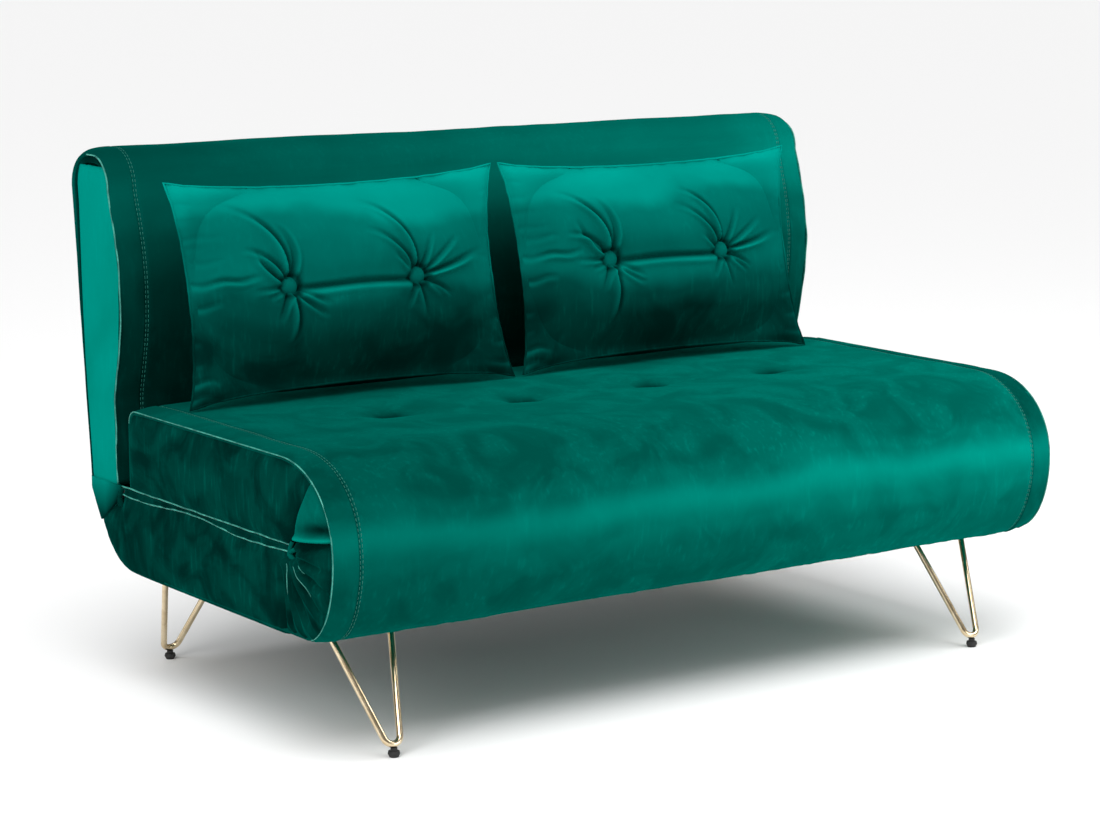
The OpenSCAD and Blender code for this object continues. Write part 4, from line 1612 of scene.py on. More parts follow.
@dataclass
class BaseSection:
    """The base, its rear corner and the strip between it and the seat."""

    shape: Outline
    finish: Finishes
    welt_r: float = 0.0016
    knot: Point2 = (0.246, 0.294)
    side_puff: float = 0.007

    def top_edge(self, y: float) -> float:
        """Height of the base side panel's upper edge at a depth."""
        if y > self.knot[0]:
            return self.tail_low(y)
        slack = 0.0045 * math.sin((y + 0.25) * 2 * math.pi / 0.36) * dip(y, 0.30)
        return self.shape.mid_z - 0.009 - slack

    def tail_low(self, y: float) -> float:
        """Height of the crease that runs down and back from the rear knot."""
        return self.knot[1] + 0.002 - (y - self.knot[0]) * 0.66

    def underside(self) -> Skin:
        """The skin under the base, from the nose to the rear."""
        shape = self.shape
        line = shape.under_arc(shape.under_join, 90, 4)
        line += [(y, shape.floor_z) for y in steps(shape.under_y, shape.crease_y - 0.139, 26)[1:]]
        return Skin("base_skin", line, Border(shape.half_w), wave=0.0008, outward=-1.0)

    def side_panel(self, side: float) -> bpy.types.Object:
        """The base's side, carried round the rear corner.

        Args:
            side: -1 for the left, 1 for the right.

        Returns:
            A closed pad.
        """
        shape = self.shape
        front, rear = shape.base_y, shape.crease_y + shape.back_low_t - 0.004
        fans = ((self.knot, (255, 274, 292, 310, 330), 0.0030, 0.055),
                ((-0.281, 0.300), (262, 274, 283, 292), 0.0036, 0.075))

        def place(y: float, v: float) -> Vector:
            """A point of the panel's outer face."""
            low = max(shape.floor_z + 0.003, shape.corner_z(y) + 0.004)
            high = max(low + 0.0005, self.top_edge(y))
            z = low + (high - low) * v
            edge = min(v, 1 - v) * (high - low)
            end = min(rear - y, y - front)
            full = puffed(edge, 0.012) * puffed(end, 0.010)
            dents = noise.noise(Vector((y * 8.0 + side * 5.0, z * 10.0, side + 3.0)))
            sink = 0.0
            for (ky, kz), angles, depth, reach in fans:
                r = math.hypot(y - ky, z - kz)
                angle = math.degrees(math.atan2(z - kz, y - ky)) % 360
                for middle in angles:
                    off = abs(turned(angle, middle)) * max(r, 0.01)
                    fade = clamp(r / 0.012) * math.exp(-r / reach)
                    sink += depth * fade * math.exp(-((off / 0.0042) ** 1.4))
                sink += 0.005 * dip(r, 0.012)
            x = shape.half_w - 0.0085 + (self.side_puff + 0.0018 * dents) * full - sink
            return Vector((side * x, y, z))

        piece = patch(sided("base_side", side),
                      steps(rear, front, 150), steps(0.0, 1.0, 34), place, 0.006 * side)
        return paint(piece, self.finish.velvet(VelvetLight.SHADED))

    def tail(self, side: float) -> bpy.types.Object:
        """The end of the back's side, which narrows to a point at the rear corner.

        Args:
            side: -1 for the left, 1 for the right.

        Returns:
            A closed pad.
        """
        shape = self.shape
        front, rear = self.knot[0] + 0.003, shape.crease_y + shape.back_low_t - 0.008

        def place(y: float, v: float) -> Vector:
            """A point of the tail's outer face."""
            high = shape.mid_z + 0.003
            low = min(high - 0.0005, max(self.tail_low(y) - 0.004, shape.corner_z(y) + 0.003))
            z = low + (high - low) * v
            edge = min(y - front, rear - y, (z - low) * 2 + 0.004)
            x = shape.half_w - 0.0030 + 0.0024 * puffed(edge, 0.003)
            x += 0.0006 * noise.noise(Vector((y * 60.0, z * 25.0, side)))
            return Vector((side * x, y, z))

        piece = patch(sided("back_side_tail", side),
                      steps(rear, front, 40), steps(0.0, 1.0, 16), place, 0.004 * side)

        def shadow(spot: Vector) -> float:
            """Painted shade over the whole tail, deeper downwards and forwards into the crease."""
            downwards = clamp((shape.mid_z - spot.z) / 0.050)
            forwards = clamp((shape.crease_y + 0.045 - spot.y) / 0.045)
            return 0.16 + 0.75 * downwards + 0.6 * forwards

        paint_shade(piece, shadow)
        return paint(piece, self.finish.velvet(VelvetLight.BRIGHT))

    def rear_tucks(self) -> bpy.types.Object:
        """The tucks at the join strips' rear ends."""
        knot = Vector((self.shape.half_w + 0.001, self.knot[0] + 0.003, self.knot[1]))
        turns = ((70, 0.018), (110, 0.014), (258, 0.022), (282, 0.020), (304, 0.016))
        return paint(tucks("rear_tucks", knot, turns, 0.0032), self.finish.velvet(VelvetLight.SHADED))

    def strip(self, side: float) -> bpy.types.Object:
        """The slack strip of velvet between the base and the seat.

        Args:
            side: -1 for the left, 1 for the right.

        Returns:
            A closed strip.
        """
        shape = self.shape

        def place(y: float, v: float) -> Vector:
            """A point of the strip's outer face."""
            low, high = self.top_edge(y) - 0.001, shape.mid_z + 0.0015
            z = low + (high - low) * v
            hollow = 0.003 * math.sin(math.pi * v)
            x = shape.half_w - 0.0035 - hollow + 0.0015 * noise.noise(Vector((y * 25.0, v, side)))
            return Vector((side * x, y, z))

        piece = patch(sided("join_strip", side),
                      steps(self.knot[0] - 0.004, shape.base_y, 110), steps(0.0, 1.0, 6), place,
                      0.003 * side)
        return paint(piece, self.finish.velvet(VelvetLight.SHADED))

    def strip_welts(self) -> bpy.types.Object:
        """The wandering welts along both edges of the strips.

        Returns:
            The welts.
        """
        shape = self.shape
        runs = []
        for side in SIDES:
            for upper in (True, False):
                run = []
                for y in steps(self.knot[0], shape.base_y - 0.004, 80):
                    stray = 0.0012 * noise.noise(Vector((y * 30.0, side, 2.0 + upper)))
                    z = shape.mid_z + 0.002 if upper else self.top_edge(y)
                    run.append(Vector((side * (shape.half_w - 0.0018), y, z + stray)))
                runs.append(run)
        return paint(tube("strip_welts", runs, self.welt_r * 0.8), self.finish.welt())

    def build(self) -> None:
        """Builds the base's core, skins, sides, strips and welts."""
        shape, finish = self.shape, self.finish
        low = Vector((-shape.half_w + 0.010, shape.base_y, shape.floor_z + 0.005))
        high = Vector((shape.half_w - 0.010, shape.crease_y - 0.001, shape.mid_z - 0.001))
        core = paint(soft_block("base_core", low, high, (40, 14, 5)), finish.velvet(VelvetLight.BED))
        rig.padded(core, fill=0.8)
        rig.slot(core, "velvet")
        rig.replaces(core, "base_foam")
        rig.ride(core, "base")
        under = self.underside()
        skin = paint(under.build(), finish.velvet(VelvetLight.SEAT))
        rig.padded(skin, fill=0.7)
        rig.slot(skin, "velvet")
        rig.replaces(skin, "base_cover")
        crossing = shape.crossing
        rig.blend(skin, "nose", "base", **crossing)
        self.rear_corner()
        for side in SIDES:
            strip = self.strip(side)
            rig.slot(strip, "velvet")
            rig.ride(strip, "base")
        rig.slot(self.strip_welts(), "velvet")
        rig.ride(bpy.data.objects["strip_welts"], "base")
        LOG.info("base: core, underside, rear corner, strips")

    def rear_corner(self) -> None:
        """Builds the skin round the rear corner, and the sides that follow it."""
        shape, finish = self.shape, self.finish
        bend = {"start": (0, shape.crease_y, 0), "end": (0, shape.crease_y + shape.back_low_t, 0)}
        corner = Skin("rear_corner_skin", shape.corner_path(), Border(shape.half_w), 0.0014,
                      0.005, -1.0)
        skin = paint(corner.build(), finish.velvet(VelvetLight.SHADED))
        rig.padded(skin, fill=0.6)
        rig.replaces(skin, "rear_corner_pad")
        pieces = [skin, self.rear_tucks()]
        for side in SIDES:
            for panel in (self.side_panel(side), self.tail(side)):
                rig.padded(panel, fill=0.7)
                pieces.append(panel)
        for piece in pieces:
            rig.slot(piece, "velvet")
            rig.blend(piece, "base", "back", **bend)


@dataclass
class BackSection:
    """The reclining back."""

    shape: Outline
    finish: Finishes
    welt_r: float = 0.0013
    corner_r: float = 0.012
    cap_w: float = 0.026
    band_w: float = 0.015

    def bend(self, spot: Vector) -> Vector:
        """Rounds the back's upper corners, seen from the front."""
        shape = self.shape
        inward = shape.half_w - abs(spot.x)
        if inward < self.corner_r:
            off = self.corner_r - max(0.0, inward)
            drop = arc_fall(self.corner_r, off * math.sqrt(0.55))
            share = clamp((spot.z - shape.top_z + 0.16) / 0.16) ** 2
            spot.z -= drop * share
        return spot

    def creases(self, x: float, y: float, z: float) -> float:
        """Soft creases low on the front, and puckers beside the seams."""
        shape = self.shape
        front = clamp((shape.crease_y + 0.04 - y) / 0.02)
        line = 0.545 + 0.004 * math.sin(x * 7)
        low = 0.0016 * dip(z - line, 0.006) * clamp(0.4 + noise.noise(Vector((x * 3.0, 5.0, 0))))
        inward = shape.half_w - abs(x)
        beside = clamp(inward / 0.01) * math.exp(-((inward / 0.034) ** 4))
        height = dip(z - 0.60, 0.11)
        pucker = 0.0042 * beside * height * noise.noise(Vector((x * 30.0, 1.0, z * 26.0)))
        return front * (low + pucker)

    def side_panel(self, side: float) -> bpy.types.Object:
        """The back's side panel.

        Args:
            side: -1 for the left, 1 for the right.

        Returns:
            A closed pad.
        """
        shape = self.shape
        low, high = shape.mid_z - 0.003, shape.top_z - self.cap_w

        def place(z: float, v: float) -> Vector:
            """A point of the panel's outer face."""
            front = shape.back_front(z) + 0.008
            band = 0.001 + (self.band_w + 0.003) * clamp((z - 0.50) / 0.24)
            rear = max(front + 0.0006, shape.back_rear(z) - band)
            y = front + (rear - front) * v
            edge = min(v, 1 - v) * (rear - front)
            end = high - z
            full = puffed(edge, 0.010) * puffed(end, 0.010)
            pucker = 0.0014 * dip(high - z, 0.035) * noise.noise(Vector((y * 70.0, 0.0, side)))
            dents = 0.0012 * noise.noise(Vector((y * 14.0, z * 5.0, side)))
            x = shape.half_w - 0.0040 + 0.0045 * full + dents * full + pucker
            return self.bend(Vector((side * x, y, z)))

        piece = patch(sided("back_side", side),
                      steps(high, low, 110), steps(0.0, 1.0, 24), place, 0.005 * side)
        return paint(piece, self.finish.velvet(VelvetLight.BRIGHT))

    def rear_band(self, side: float) -> bpy.types.Object:
        """The band along the rear of the back's side, painted dark as the shade in its recess.

        Args:
            side: -1 for the left, 1 for the right.

        Returns:
            A closed band.
        """
        line = self.shape.back_path()
        normals = normals_of(line)
        first = next(i for i, (_, z) in enumerate(line) if z > self.shape.top_z - 0.035)

        def place(row: float, v: float) -> Vector:
            """A point of the band's outer face."""
            (y, z), (ny, nz) = line[int(row)], normals[int(row)]
            inward = 0.0075 + self.band_w * (1 - v)
            x = self.shape.half_w - 0.0060 + 0.002 * math.sin(math.pi * v)
            return self.bend(Vector((side * x, y - ny * inward, z - nz * inward)))

        rows = [float(i) for i in range(first, len(line))]
        piece = patch(sided("back_rear_band", side),
                      rows, steps(0.0, 1.0, 6), place, 0.004 * side)
        return paint(piece, self.finish.velvet(VelvetLight.SHADED))

    def lining(self, side: float) -> bpy.types.Object:
        """A dark plate inside the back's side, seen in the seams as painted shade.

        Args:
            side: -1 for the left, 1 for the right.

        Returns:
            A closed plate.
        """
        shape = self.shape

        def place(z: float, v: float) -> Vector:
            """A point of the plate's outer face."""
            front = shape.back_front(z) + 0.010
            rear = max(front + 0.0006, shape.back_rear(z) - 0.009)
            y = front + (rear - front) * v
            return self.bend(Vector((side * (shape.half_w - 0.009), y, z)))

        piece = patch(sided("back_lining", side),
                      steps(shape.top_z - 0.005, shape.mid_z + 0.002, 60), steps(0.0, 1.0, 8),
                      place, 0.004 * side)
        return paint(piece, self.finish.velvet(VelvetLight.SHADED))

    def build(self) -> None:
        """Builds the skin, sides, bands, welts and stitches."""
        shape, finish = self.shape, self.finish
        skin = Skin("back_skin", shape.back_path(), Border(shape.half_w), 0.0022, 0.006, 1.0)
        cover = paint(skin.build(self.creases, self.bend), finish.velvet(VelvetLight.BACK))
        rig.padded(cover, fill=0.8)
        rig.replaces(cover, "back_cover", "back_foam_front", "back_foam_rear")
        edges = [[self.bend(spot) for spot in skin.edge(side, 0.0030)
                  if spot.y < shape.rear_y - shape.back_top_r] for side in SIDES]
        welts = paint(tube("back_welts", edges, self.welt_r), finish.welt())
        thread = paint(tube("back_stitches", skin.stitches(self.bend), STITCH_R, 1),
                       finish.thread())
        pieces = [cover, welts, thread]
        for side in SIDES:
            panel = self.side_panel(side)
            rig.padded(panel, fill=0.7)
            pieces += [panel, self.rear_band(side), self.lining(side)]
        foot_low = Vector((-shape.half_w + 0.012, shape.crease_y + 0.004, shape.mid_z + 0.002))
        foot_high = Vector((shape.half_w - 0.012, shape.crease_y + shape.back_low_t - 0.004,
                            shape.mid_z + 0.014))
        foot = paint(soft_block("back_foot", foot_low, foot_high, (30, 3, 1)),
                     finish.velvet(VelvetLight.SHADED))
        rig.padded(foot, fill=0.6)
        pieces.append(foot)
        for piece in pieces:
            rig.slot(piece, "velvet")
            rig.ride(piece, "back")
        LOG.info("back: skin, sides, bands, welts, stitches")


@dataclass(frozen=True)
class Fold:
    """One crease that runs out from a pillow's button.

    Its direction and the bend of its far end are in degrees, its reach and depth in metres.
    """

    angle: float
    bend: float
    reach: float
    depth: float


LEFT_FOLDS = (Fold(92, 34, 0.150, 0.0090), Fold(72, 26, 0.105, 0.0050),
              Fold(122, 22, 0.090, 0.0070), Fold(148, -18, 0.085, 0.0075),
              Fold(180, 0, 0.065, 0.0035), Fold(205, 0, 0.050, 0.0030),
              Fold(246, 0, 0.070, 0.0045), Fold(283, -16, 0.105, 0.0070),
              Fold(308, 10, 0.080, 0.0050), Fold(332, 0, 0.065, 0.0050))
RIGHT_FOLDS = (Fold(96, 30, 0.140, 0.0090), Fold(120, 18, 0.130, 0.0060),
               Fold(146, 0, 0.060, 0.0040), Fold(62, 0, 0.080, 0.0040),
               Fold(30, 0, 0.110, 0.0045), Fold(12, 5, 0.170, 0.0090),
               Fold(340, -8, 0.080, 0.0070), Fold(322, 0, 0.065, 0.0045),
               Fold(278, 0, 0.075, 0.0040), Fold(236, 0, 0.060, 0.0035))
# Each gather: how far down the seam it lies, how far in it reaches and its depth.
LEFT_GATHERS = ((0.10, 0.045, 0.004), (0.17, 0.060, 0.005), (0.24, 0.080, 0.005),
                (0.30, 0.070, 0.005), (0.36, 0.085, 0.006), (0.45, 0.130, 0.013),
                (0.545, 0.070, 0.012), (0.63, 0.030, 0.004), (0.70, 0.040, 0.004),
                (0.79, 0.035, 0.004), (0.88, 0.065, 0.011), (0.945, 0.055, 0.009))
RIGHT_GATHERS = ((0.12, 0.035, 0.004), (0.22, 0.035, 0.004), (0.33, 0.040, 0.004),
                 (0.42, 0.055, 0.006), (0.51, 0.035, 0.004), (0.60, 0.045, 0.005),
                 (0.71, 0.040, 0.005), (0.82, 0.045, 0.006), (0.92, 0.060, 0.007))


@dataclass
class ThrowPillow:
    """One stuffed pillow with two covered buttons."""

    name: str
    finish: Finishes
    seed: float
    width: float = 0.596
    height: float = 0.350
    depth: float = 0.128
    lean: float = 12.0
    pull: float = 0.011
    button_x: float = 0.116
    button_r: float = 0.0140
    button_in: float = 0.026
    edge_crease: float = 0.85
    pressure: float = 4.0
    stiffness: float = 30.0
    frames: int = 20
    cells: tuple[int, int] = (68, 40)
    swell_cap: float = 0.016
    easing: int = 12

    def stance(self) -> Matrix:
        """The turn and place of the pillow, from its frame cover.

        Returns:
            A matrix from the pillow's own axes to the sofa's.
        """
        low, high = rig.box(f"{self.name}_cover")
        return Matrix.Translation((low + high) / 2) @ Matrix.Rotation(
            -math.radians(self.lean), 4, "X")

    def outline(self, u: float, v: float) -> Point2:
        """A place on the flat pillow, its edges drawn in between the corners."""
        x = self.width * (u - 0.5) * (1 - self.pull * 2 / self.width * math.sin(math.pi * v))
        z = self.height * (v - 0.5) * (1 - self.pull * 2 / self.height * math.sin(math.pi * u))
        return x, z

    def blank(self) -> bpy.types.Object:
        """The pillow's plain stuffed form, before its creases.

        Returns:
            A closed mesh about the origin.
        """
        halves = []
        across, up = self.cells
        for face in (-1.0, 1.0):
            deselect()
            bpy.ops.mesh.primitive_grid_add(x_subdivisions=across, y_subdivisions=up, size=2)
            half = named(f"{self.name}_half")

            def stuffed(spot: Vector, face: float = face) -> Vector:
                """One point of the pillow's face."""
                u, v = (spot.x + 1) / 2, (spot.y + 1) / 2
                x, z = self.outline(u, v)
                across_rise = math.sin(math.pi * clamp(u)) ** 0.78
                up_rise = math.sin(math.pi * clamp(v)) ** 0.78
                rim = min(u, 1 - u, v, 1 - v) < 1e-5
                rise = 0.0 if rim else across_rise * up_rise
                return Vector((x, face * self.depth / 2 * rise, z))

            move_vertices(half, stuffed)
            halves.append(half)
        pick(*halves)
        bpy.ops.object.join()
        return settle(named(self.name))

    def inflate(self, piece: bpy.types.Object) -> None:
        """Swells the form as stuffed cloth, eases it, then brings it back to its size.

        Args:
            piece: The pillow's plain form.
        """
        before = [vertex.co.copy() for vertex in piece.data.vertices]
        cloth = piece.modifiers.new("Cloth", "CLOTH")
        cloth.settings.use_pressure = True
        cloth.settings.uniform_pressure_force = self.pressure
        cloth.settings.quality = 6
        cloth.settings.tension_stiffness = self.stiffness
        cloth.settings.compression_stiffness = self.stiffness
        cloth.settings.effector_weights.gravity = 0.0
        cloth.point_cache.frame_start = 1
        cloth.point_cache.frame_end = self.frames
        for step in range(1, self.frames + 1):
            bpy.context.scene.frame_set(step)
        pick(piece)
        bpy.ops.object.modifier_apply(modifier=cloth.name)
        bpy.context.scene.frame_set(1)
        for vertex, start in zip(piece.data.vertices, before):
            move = vertex.co - start
            kept = self.swell_cap * (1 - math.exp(-move.length / self.swell_cap))
            vertex.co = start + move.normalized() * kept
        rim = {i: piece.data.vertices[i].co.copy() for i, spot in enumerate(before)
               if abs(spot.y) < 1e-6}
        use_modifier(piece, "SMOOTH", factor=0.5, iterations=self.easing)
        for i, spot in rim.items():
            piece.data.vertices[i].co = spot
        spread = [max(abs(vertex.co[axis]) for vertex in piece.data.vertices) for axis in range(3)]
        goal = (self.width / 2, self.depth / 2, self.height / 2)
        LOG.info("%s: swelled to %s", self.name, [round(2 * reach, 3) for reach in spread])
        move_vertices(piece, lambda spot: Vector(
            [spot[axis] * goal[axis] / spread[axis] for axis in range(3)]))

    def fold_sink(self, dx: float, dz: float, folds: Sequence[Fold]) -> float:
        """How far one button's creases draw the front in.

        Args:
            dx: Distance to the right of the button.
            dz: Distance above the button.
            folds: The button's creases.

        Returns:
            The depth at that place.
        """
        r = math.hypot(dx, dz)
        angle = math.degrees(math.atan2(dz, dx))
        sink = 0.0
        for i, fold in enumerate(folds):
            reach = fold.reach * (1 + 0.25 * noise.noise(Vector((i * 1.9, self.seed, 0.0))))
            if r > reach:
                continue
            stray = 9 * noise.noise(Vector((i * 2.7, self.seed + 3.0, 1.0)))
            middle = fold.angle + stray + fold.bend * (r / reach) ** 1.6
            off = turned(angle, middle) * max(r, 0.004)
            lower = -1.0 if 90 < fold.angle < 270 else 1.0
            width = 0.0027 + 0.014 * r
            fade = clamp((r - 0.008) / 0.012) * (1 - (r / reach) ** 2)
            ridge = 0.85 * dip(off + lower * 2.1 * width, 1.2 * width)
            sink += 1.6 * fold.depth * fade * (dip(off, width) - ridge)
        return sink

    def button_sink(self, x: float, z: float) -> float:
        """How far the front is drawn in by the buttons and the fold between them."""
        sink = 0.0
        for bx, folds in ((-self.button_x, LEFT_FOLDS), (self.button_x, RIGHT_FOLDS)):
            r = math.hypot(x - bx, z)
            sink += self.button_in * math.exp(-((r / 0.034) ** 1.15))
            sink += 0.004 * math.exp(-((r / 0.017) ** 4))
            sink += self.fold_sink(x - bx, z, folds)
        if abs(x) < self.button_x:
            share = 1 - (x / self.button_x) ** 6
            line = z + 0.004 * share - 0.0015 * math.sin(x * 30 + self.seed)
            sink += share * (0.0105 * dip(line, 0.0042) + 0.009 * dip(line, 0.024))
            sink -= share * 0.0060 * dip(line + 0.0105, 0.0065)
        return sink

    def painted_shade(self, spot: Vector) -> float:
        """Painted shade at a point of the pillow's front, in its creases, seam gathers and round its buttons, and
        painted highlight below nought on its ridges.
        """
        if spot.y > 0:
            return 0.0
        dark = 22 * self.gathers(spot.x, spot.z)
        for x, folds in ((-self.button_x, LEFT_FOLDS), (self.button_x, RIGHT_FOLDS)):
            dark += 42 * self.fold_sink(spot.x - x, spot.z, folds)
            dark += 0.8 * dip(math.hypot(spot.x - x, spot.z) - 0.0165, 0.0045)
        if abs(spot.x) < self.button_x - self.button_r:
            dark += 0.55 * dip(spot.z + 0.004, 0.0042) - 0.35 * dip(spot.z + 0.0145, 0.0060)
        return clamp(dark, -0.45, 0.85)

    def gathers(self, x: float, z: float) -> float:
        """The small folds along the side seams.

        Args:
            x: Distance to the right of the pillow's middle.
            z: Distance above it.

        Returns:
            How far the face is drawn in, below nought on a ridge.
        """
        inward = max(0.0, self.width / 2 - abs(x))
        table = LEFT_GATHERS if x < 0 else RIGHT_GATHERS
        sink = 0.0
        for i, (down, reach, depth) in enumerate(table):
            jitter = noise.noise(Vector((i * 3.1, self.seed, math.copysign(2.0, x))))
            reach = reach * (1 + 0.3 * jitter)
            if inward > reach:
                continue
            middle = self.height * (0.5 - down - 0.018 * jitter) + 0.06 * inward * (down - 0.5)
            off = z - middle - 0.0016 * math.sin(inward * 120 + i)
            fade = clamp((inward + 0.004) / 0.012) * (1 - (inward / reach) ** 2)
            sink += 1.15 * depth * (1 + 0.4 * jitter) * fade * (
                dip(off, 0.0034) - 0.85 * dip(off + 0.0080, 0.0048))
        return sink

    def crease(self, piece: bpy.types.Object) -> None:
        """Draws in the buttons and gathers the seams.

        Args:
            piece: The swollen form.
        """
        def drawn(spot: Vector) -> Vector:
            """One vertex after the sewing."""
            full = 1 - math.exp(-((spot.y / 0.018) ** 2))
            side = -1.0 if spot.y < 0 else 1.0
            sink = self.gathers(spot.x, spot.z)
            sink += 0.0026 * noise.noise(Vector((spot.x * 8.0, side + self.seed, spot.z * 8.0)))
            sink += 0.0010 * noise.noise(Vector((spot.x * 30.0, side + self.seed, spot.z * 18.0)))
            if side < 0:
                sink += self.button_sink(spot.x, spot.z)
            return Vector((spot.x, spot.y - side * sink * full, spot.z))

        move_vertices(piece, drawn)

    def seam(self, points: Sequence[Vector]) -> bpy.types.Object:
        """The sewn edge round the pillow, with its small waves.

        Args:
            points: The edge of the two faces, in order.

        Returns:
            The edge cord.
        """
        run = []
        for spot in points:
            wave = noise.noise(Vector((spot.x * 70.0, spot.z * 90.0, self.seed)))
            run.append(spot * 0.9985 + Vector((0.0, wave * 0.0022, wave * 0.0008)))
        return tube(f"{self.name}_seam", [run], 0.0017, 2, True)

    def buttons(self, piece: bpy.types.Object) -> bpy.types.Object:
        """The two covered buttons.

        Args:
            piece: The creased pillow that they sit in.

        Returns:
            One mesh of both.
        """
        made = []
        for x in (-self.button_x, self.button_x):
            deselect()
            spot = Vector((x, -self.depth / 2, 0.0))
            near = [v.co.y for v in piece.data.vertices
                    if v.co.y < 0 and math.hypot(v.co.x - x, v.co.z) < 0.009]
            spot.y = sum(near) / len(near) - 0.0030
            bpy.ops.mesh.primitive_uv_sphere_add(segments=32, ring_count=16, radius=self.button_r,
                                                 location=(0, 0, 0), rotation=(math.pi / 2, 0, 0))
            button = named(f"{self.name}_button")
            bpy.ops.object.transform_apply(location=False, rotation=True, scale=True)

            def domed(point: Vector, spot: Vector = spot) -> Vector:
                """One point of the button, flatter behind and ribbed at its rim."""
                r = math.hypot(point.x, point.z) / self.button_r
                angle = math.atan2(point.z, point.x)
                rib = 0.00035 * math.sin(angle * 14) * clamp((r - 0.6) / 0.4)
                return Vector((point.x, point.y * 0.45 + rib, point.z)) + spot

            move_vertices(button, domed)
            made.append(button)
        pick(*made)
        bpy.ops.object.join()
        return settle(named(f"{self.name}_button_caps"))

    def build(self) -> None:
        """Builds the pillow, its seam and its buttons, and stands it on the seat."""
        piece = self.blank()
        rim = [v.index for v in piece.data.vertices if abs(v.co.y) < 1e-6]
        rim.sort(key=lambda i: math.atan2(piece.data.vertices[i].co.z / self.height,
                                          piece.data.vertices[i].co.x / self.width))
        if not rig.quick():
            self.inflate(piece)
        points = [piece.data.vertices[i].co.copy() for i in rim]
        held = set(rim)
        sharp = piece.data.attributes.new("crease_edge", "FLOAT", "EDGE")
        for edge in piece.data.edges:
            if edge.vertices[0] in held and edge.vertices[1] in held:
                sharp.data[edge.index].value = self.edge_crease
        use_modifier(piece, "SUBSURF", levels=2, render_levels=2)
        self.crease(piece)
        paint_shade(settle(piece), self.painted_shade)
        seam, buttons = self.seam(points), self.buttons(piece)
        stance = self.stance()
        for part in (piece, seam, buttons):
            part.data.transform(stance)
            paint(part, self.finish.velvet(VelvetLight.PILLOW))
            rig.slot(part, "velvet")
            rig.ride(part, self.name)
        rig.padded(piece, fill=0.75)
        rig.replaces(piece, f"{self.name}_cover", f"{self.name}_filling")
        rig.replaces(buttons, f"{self.name}_buttons")
        LOG.info("%s: %d faces", self.name, len(piece.data.polygons))


@dataclass
class Hardware:
    """The frame's own pieces: legs, frames, slats, hinges and bolts."""

    finish: Finishes

    def build(self) -> None:
        """Gives every metal, wood and plastic piece of the frame its finish."""
        finish = self.finish
        kinds = (
            (("_leg", "leg_screws"), finish.gold),
            (("leg_feet",), finish.rubber),
            (("_cap", "holders"), finish.plastic),
            (("_slats",), finish.beech),
            (("pins", "bolts", "washers"), finish.zinc),
            (("frame", "brackets", "links", "rods", "fold_leg"), finish.painted_steel),
            (("foam", "filling"), finish.foam),
        )
        for name, node in frame["nodes"].items():
            for words, make in kinds:
                if any(name.endswith(word) or word in name for word in words):
                    if name.startswith("fold_leg") and make == finish.gold:
                        continue
                    paint(node, make())
                    break
            else:
                paint(node, finish.velvet(VelvetLight.SHADED))
        LOG.info("hardware: %d pieces of the frame dressed", len(frame["nodes"]))


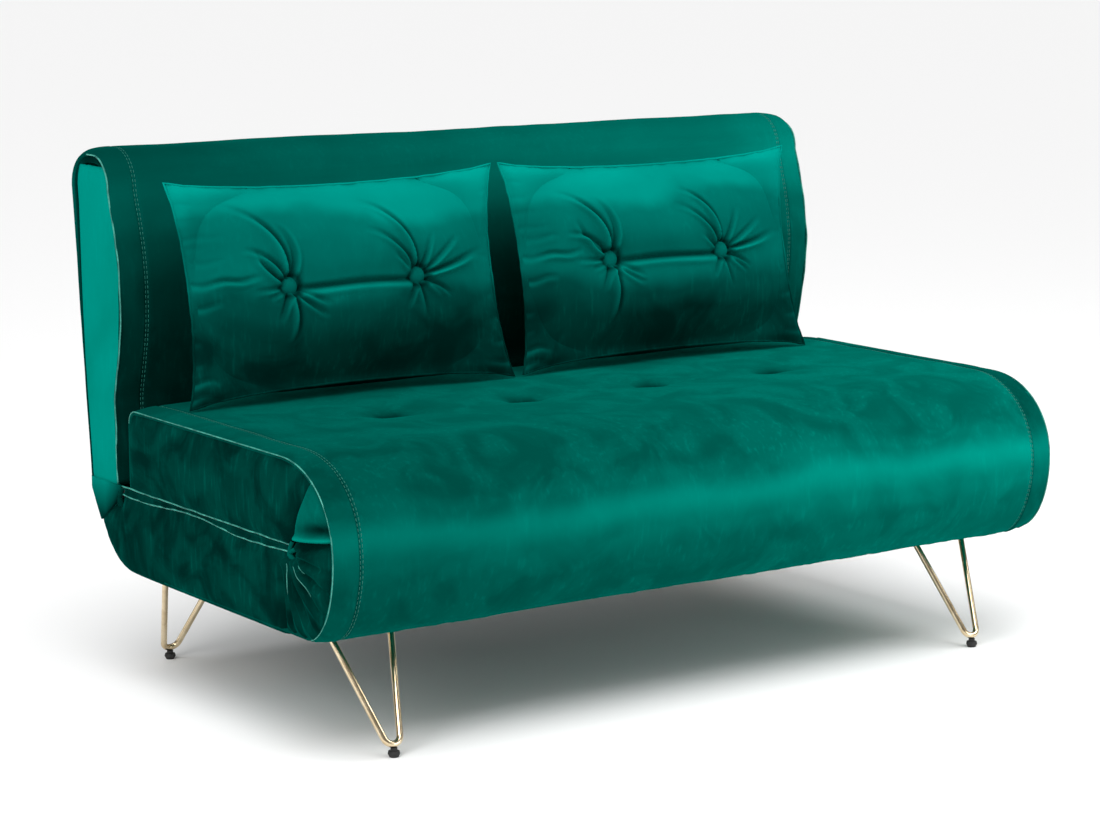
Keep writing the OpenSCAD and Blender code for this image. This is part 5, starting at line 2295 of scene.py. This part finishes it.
@dataclass
class Studio:
    """The floor, the light and the camera."""

    eye: Vector = field(default_factory=lambda: Vector((-2.729, -3.8525, 1.21)))
    turn: float = -0.609
    tilt: float = 0.171
    lens: float = 97.65
    sky_light: float = 0.22
    floor_size: float = 400
    sun_strength: float = 2.6
    sun_spread: float = 55

    def floor(self) -> None:
        """A plain pale floor."""
        deselect()
        bpy.ops.mesh.primitive_plane_add(size=self.floor_size, location=(0, 0, 0))
        floor = named("studio_floor")
        material = bpy.data.materials.new("pale_floor")
        material.use_nodes = True
        shader = material.node_tree.nodes["Principled BSDF"]
        shader.inputs["Base Color"].default_value = (0.95, 0.95, 0.95, 1)
        shader.inputs["Roughness"].default_value = 0.85
        shader.inputs["Specular IOR Level"].default_value = 0.1
        paint(floor, material)
        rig.stage(floor)

    def sky(self) -> None:
        """A pale room: white where it is seen, and dimmer as a light."""
        world = bpy.data.worlds.new("studio")
        world.use_nodes = True
        tree = world.node_tree
        path = tree.nodes.new("ShaderNodeLightPath")
        share = maths(tree, "MULTIPLY", path.outputs["Is Camera Ray"], 1.0 - self.sky_light)
        strength = maths(tree, "ADD", share, self.sky_light)
        tree.links.new(strength, tree.nodes["Background"].inputs["Strength"])
        tree.nodes["Background"].inputs["Color"].default_value = (1.0, 1.0, 1.0, 1)
        bpy.context.scene.world = world

    def sun(self) -> None:
        """A broad soft light from above."""
        light = bpy.data.lights.new("overhead", "SUN")
        light.energy = self.sun_strength
        light.angle = math.radians(self.sun_spread)
        lamp = bpy.data.objects.new("overhead", light)
        bpy.context.collection.objects.link(lamp)
        lamp.rotation_euler = Vector((0.30, 0.22, -1.0)).to_track_quat("-Z", "Y").to_euler()

    def lamp(self, name: str, place: Colour, aim: Colour, size: float, power: float) -> None:
        """A soft square lamp.

        Args:
            name: The lamp's name.
            place: Where it hangs.
            aim: What it looks at.
            size: The side of its square.
            power: Its power in watts.
        """
        light = bpy.data.lights.new(name, "AREA")
        light.size = size
        light.energy = power
        lamp = bpy.data.objects.new(name, light)
        bpy.context.collection.objects.link(lamp)
        lamp.location = place
        lamp.rotation_euler = (Vector(aim) - Vector(place)).to_track_quat("-Z", "Y").to_euler()

    def build(self) -> None:
        """Builds the studio."""
        self.floor()
        self.sky()
        self.sun()
        self.lamp("left_window", (-3.4, -1.6, 1.9), (0, 0, 0.4), 1.6, 55)
        self.lamp("front_fill", (2.2, -4.0, 1.2), (0.3, -0.3, 0.3), 1.8, 40)
        self.lamp("right_window", (2.3, -1.2, 2.3), (0.5, -0.2, 0.4), 1.6, 42)
        camera_data = bpy.data.cameras.new("camera")
        camera_data.lens = self.lens
        camera_data.sensor_width = 36.0
        camera_data.sensor_fit = "HORIZONTAL"
        camera = bpy.data.objects.new("camera", camera_data)
        bpy.context.collection.objects.link(camera)
        camera.location = self.eye
        camera.rotation_euler = (math.pi / 2 - self.tilt, 0.0, self.turn)
        bpy.context.scene.camera = camera
        bpy.context.scene.view_settings.view_transform = "Standard"
        LOG.info("studio: floor, lamps, camera")


def write_size(before: tuple[Vector, Vector]) -> None:
    """Writes the frame's box and the dressed model's box.

    Args:
        before: The box straight after loading.
    """
    boxes = {"cad": before, "visual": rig.bounds()}
    with open("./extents.json", "w", encoding="utf-8") as file:
        json.dump({key: [list(corner) for corner in box] for key, box in boxes.items()}, file)


def main() -> None:
    """Builds the studio and every sub-assembly in order."""
    logging.basicConfig(level=logging.INFO, format="%(message)s")
    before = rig.bounds()
    Studio().build()
    shape, finish = Outline.from_frame(), Finishes()
    Hardware(finish).build()
    SeatAndNose(shape, finish).build()
    BaseSection(shape, finish).build()
    BackSection(shape, finish).build()
    for name, seed in (("pillow_left", 1.3), ("pillow_right", 8.9)):
        ThrowPillow(name, finish, seed).build()
    write_size(before)


if __name__ == "__main__":
    main()
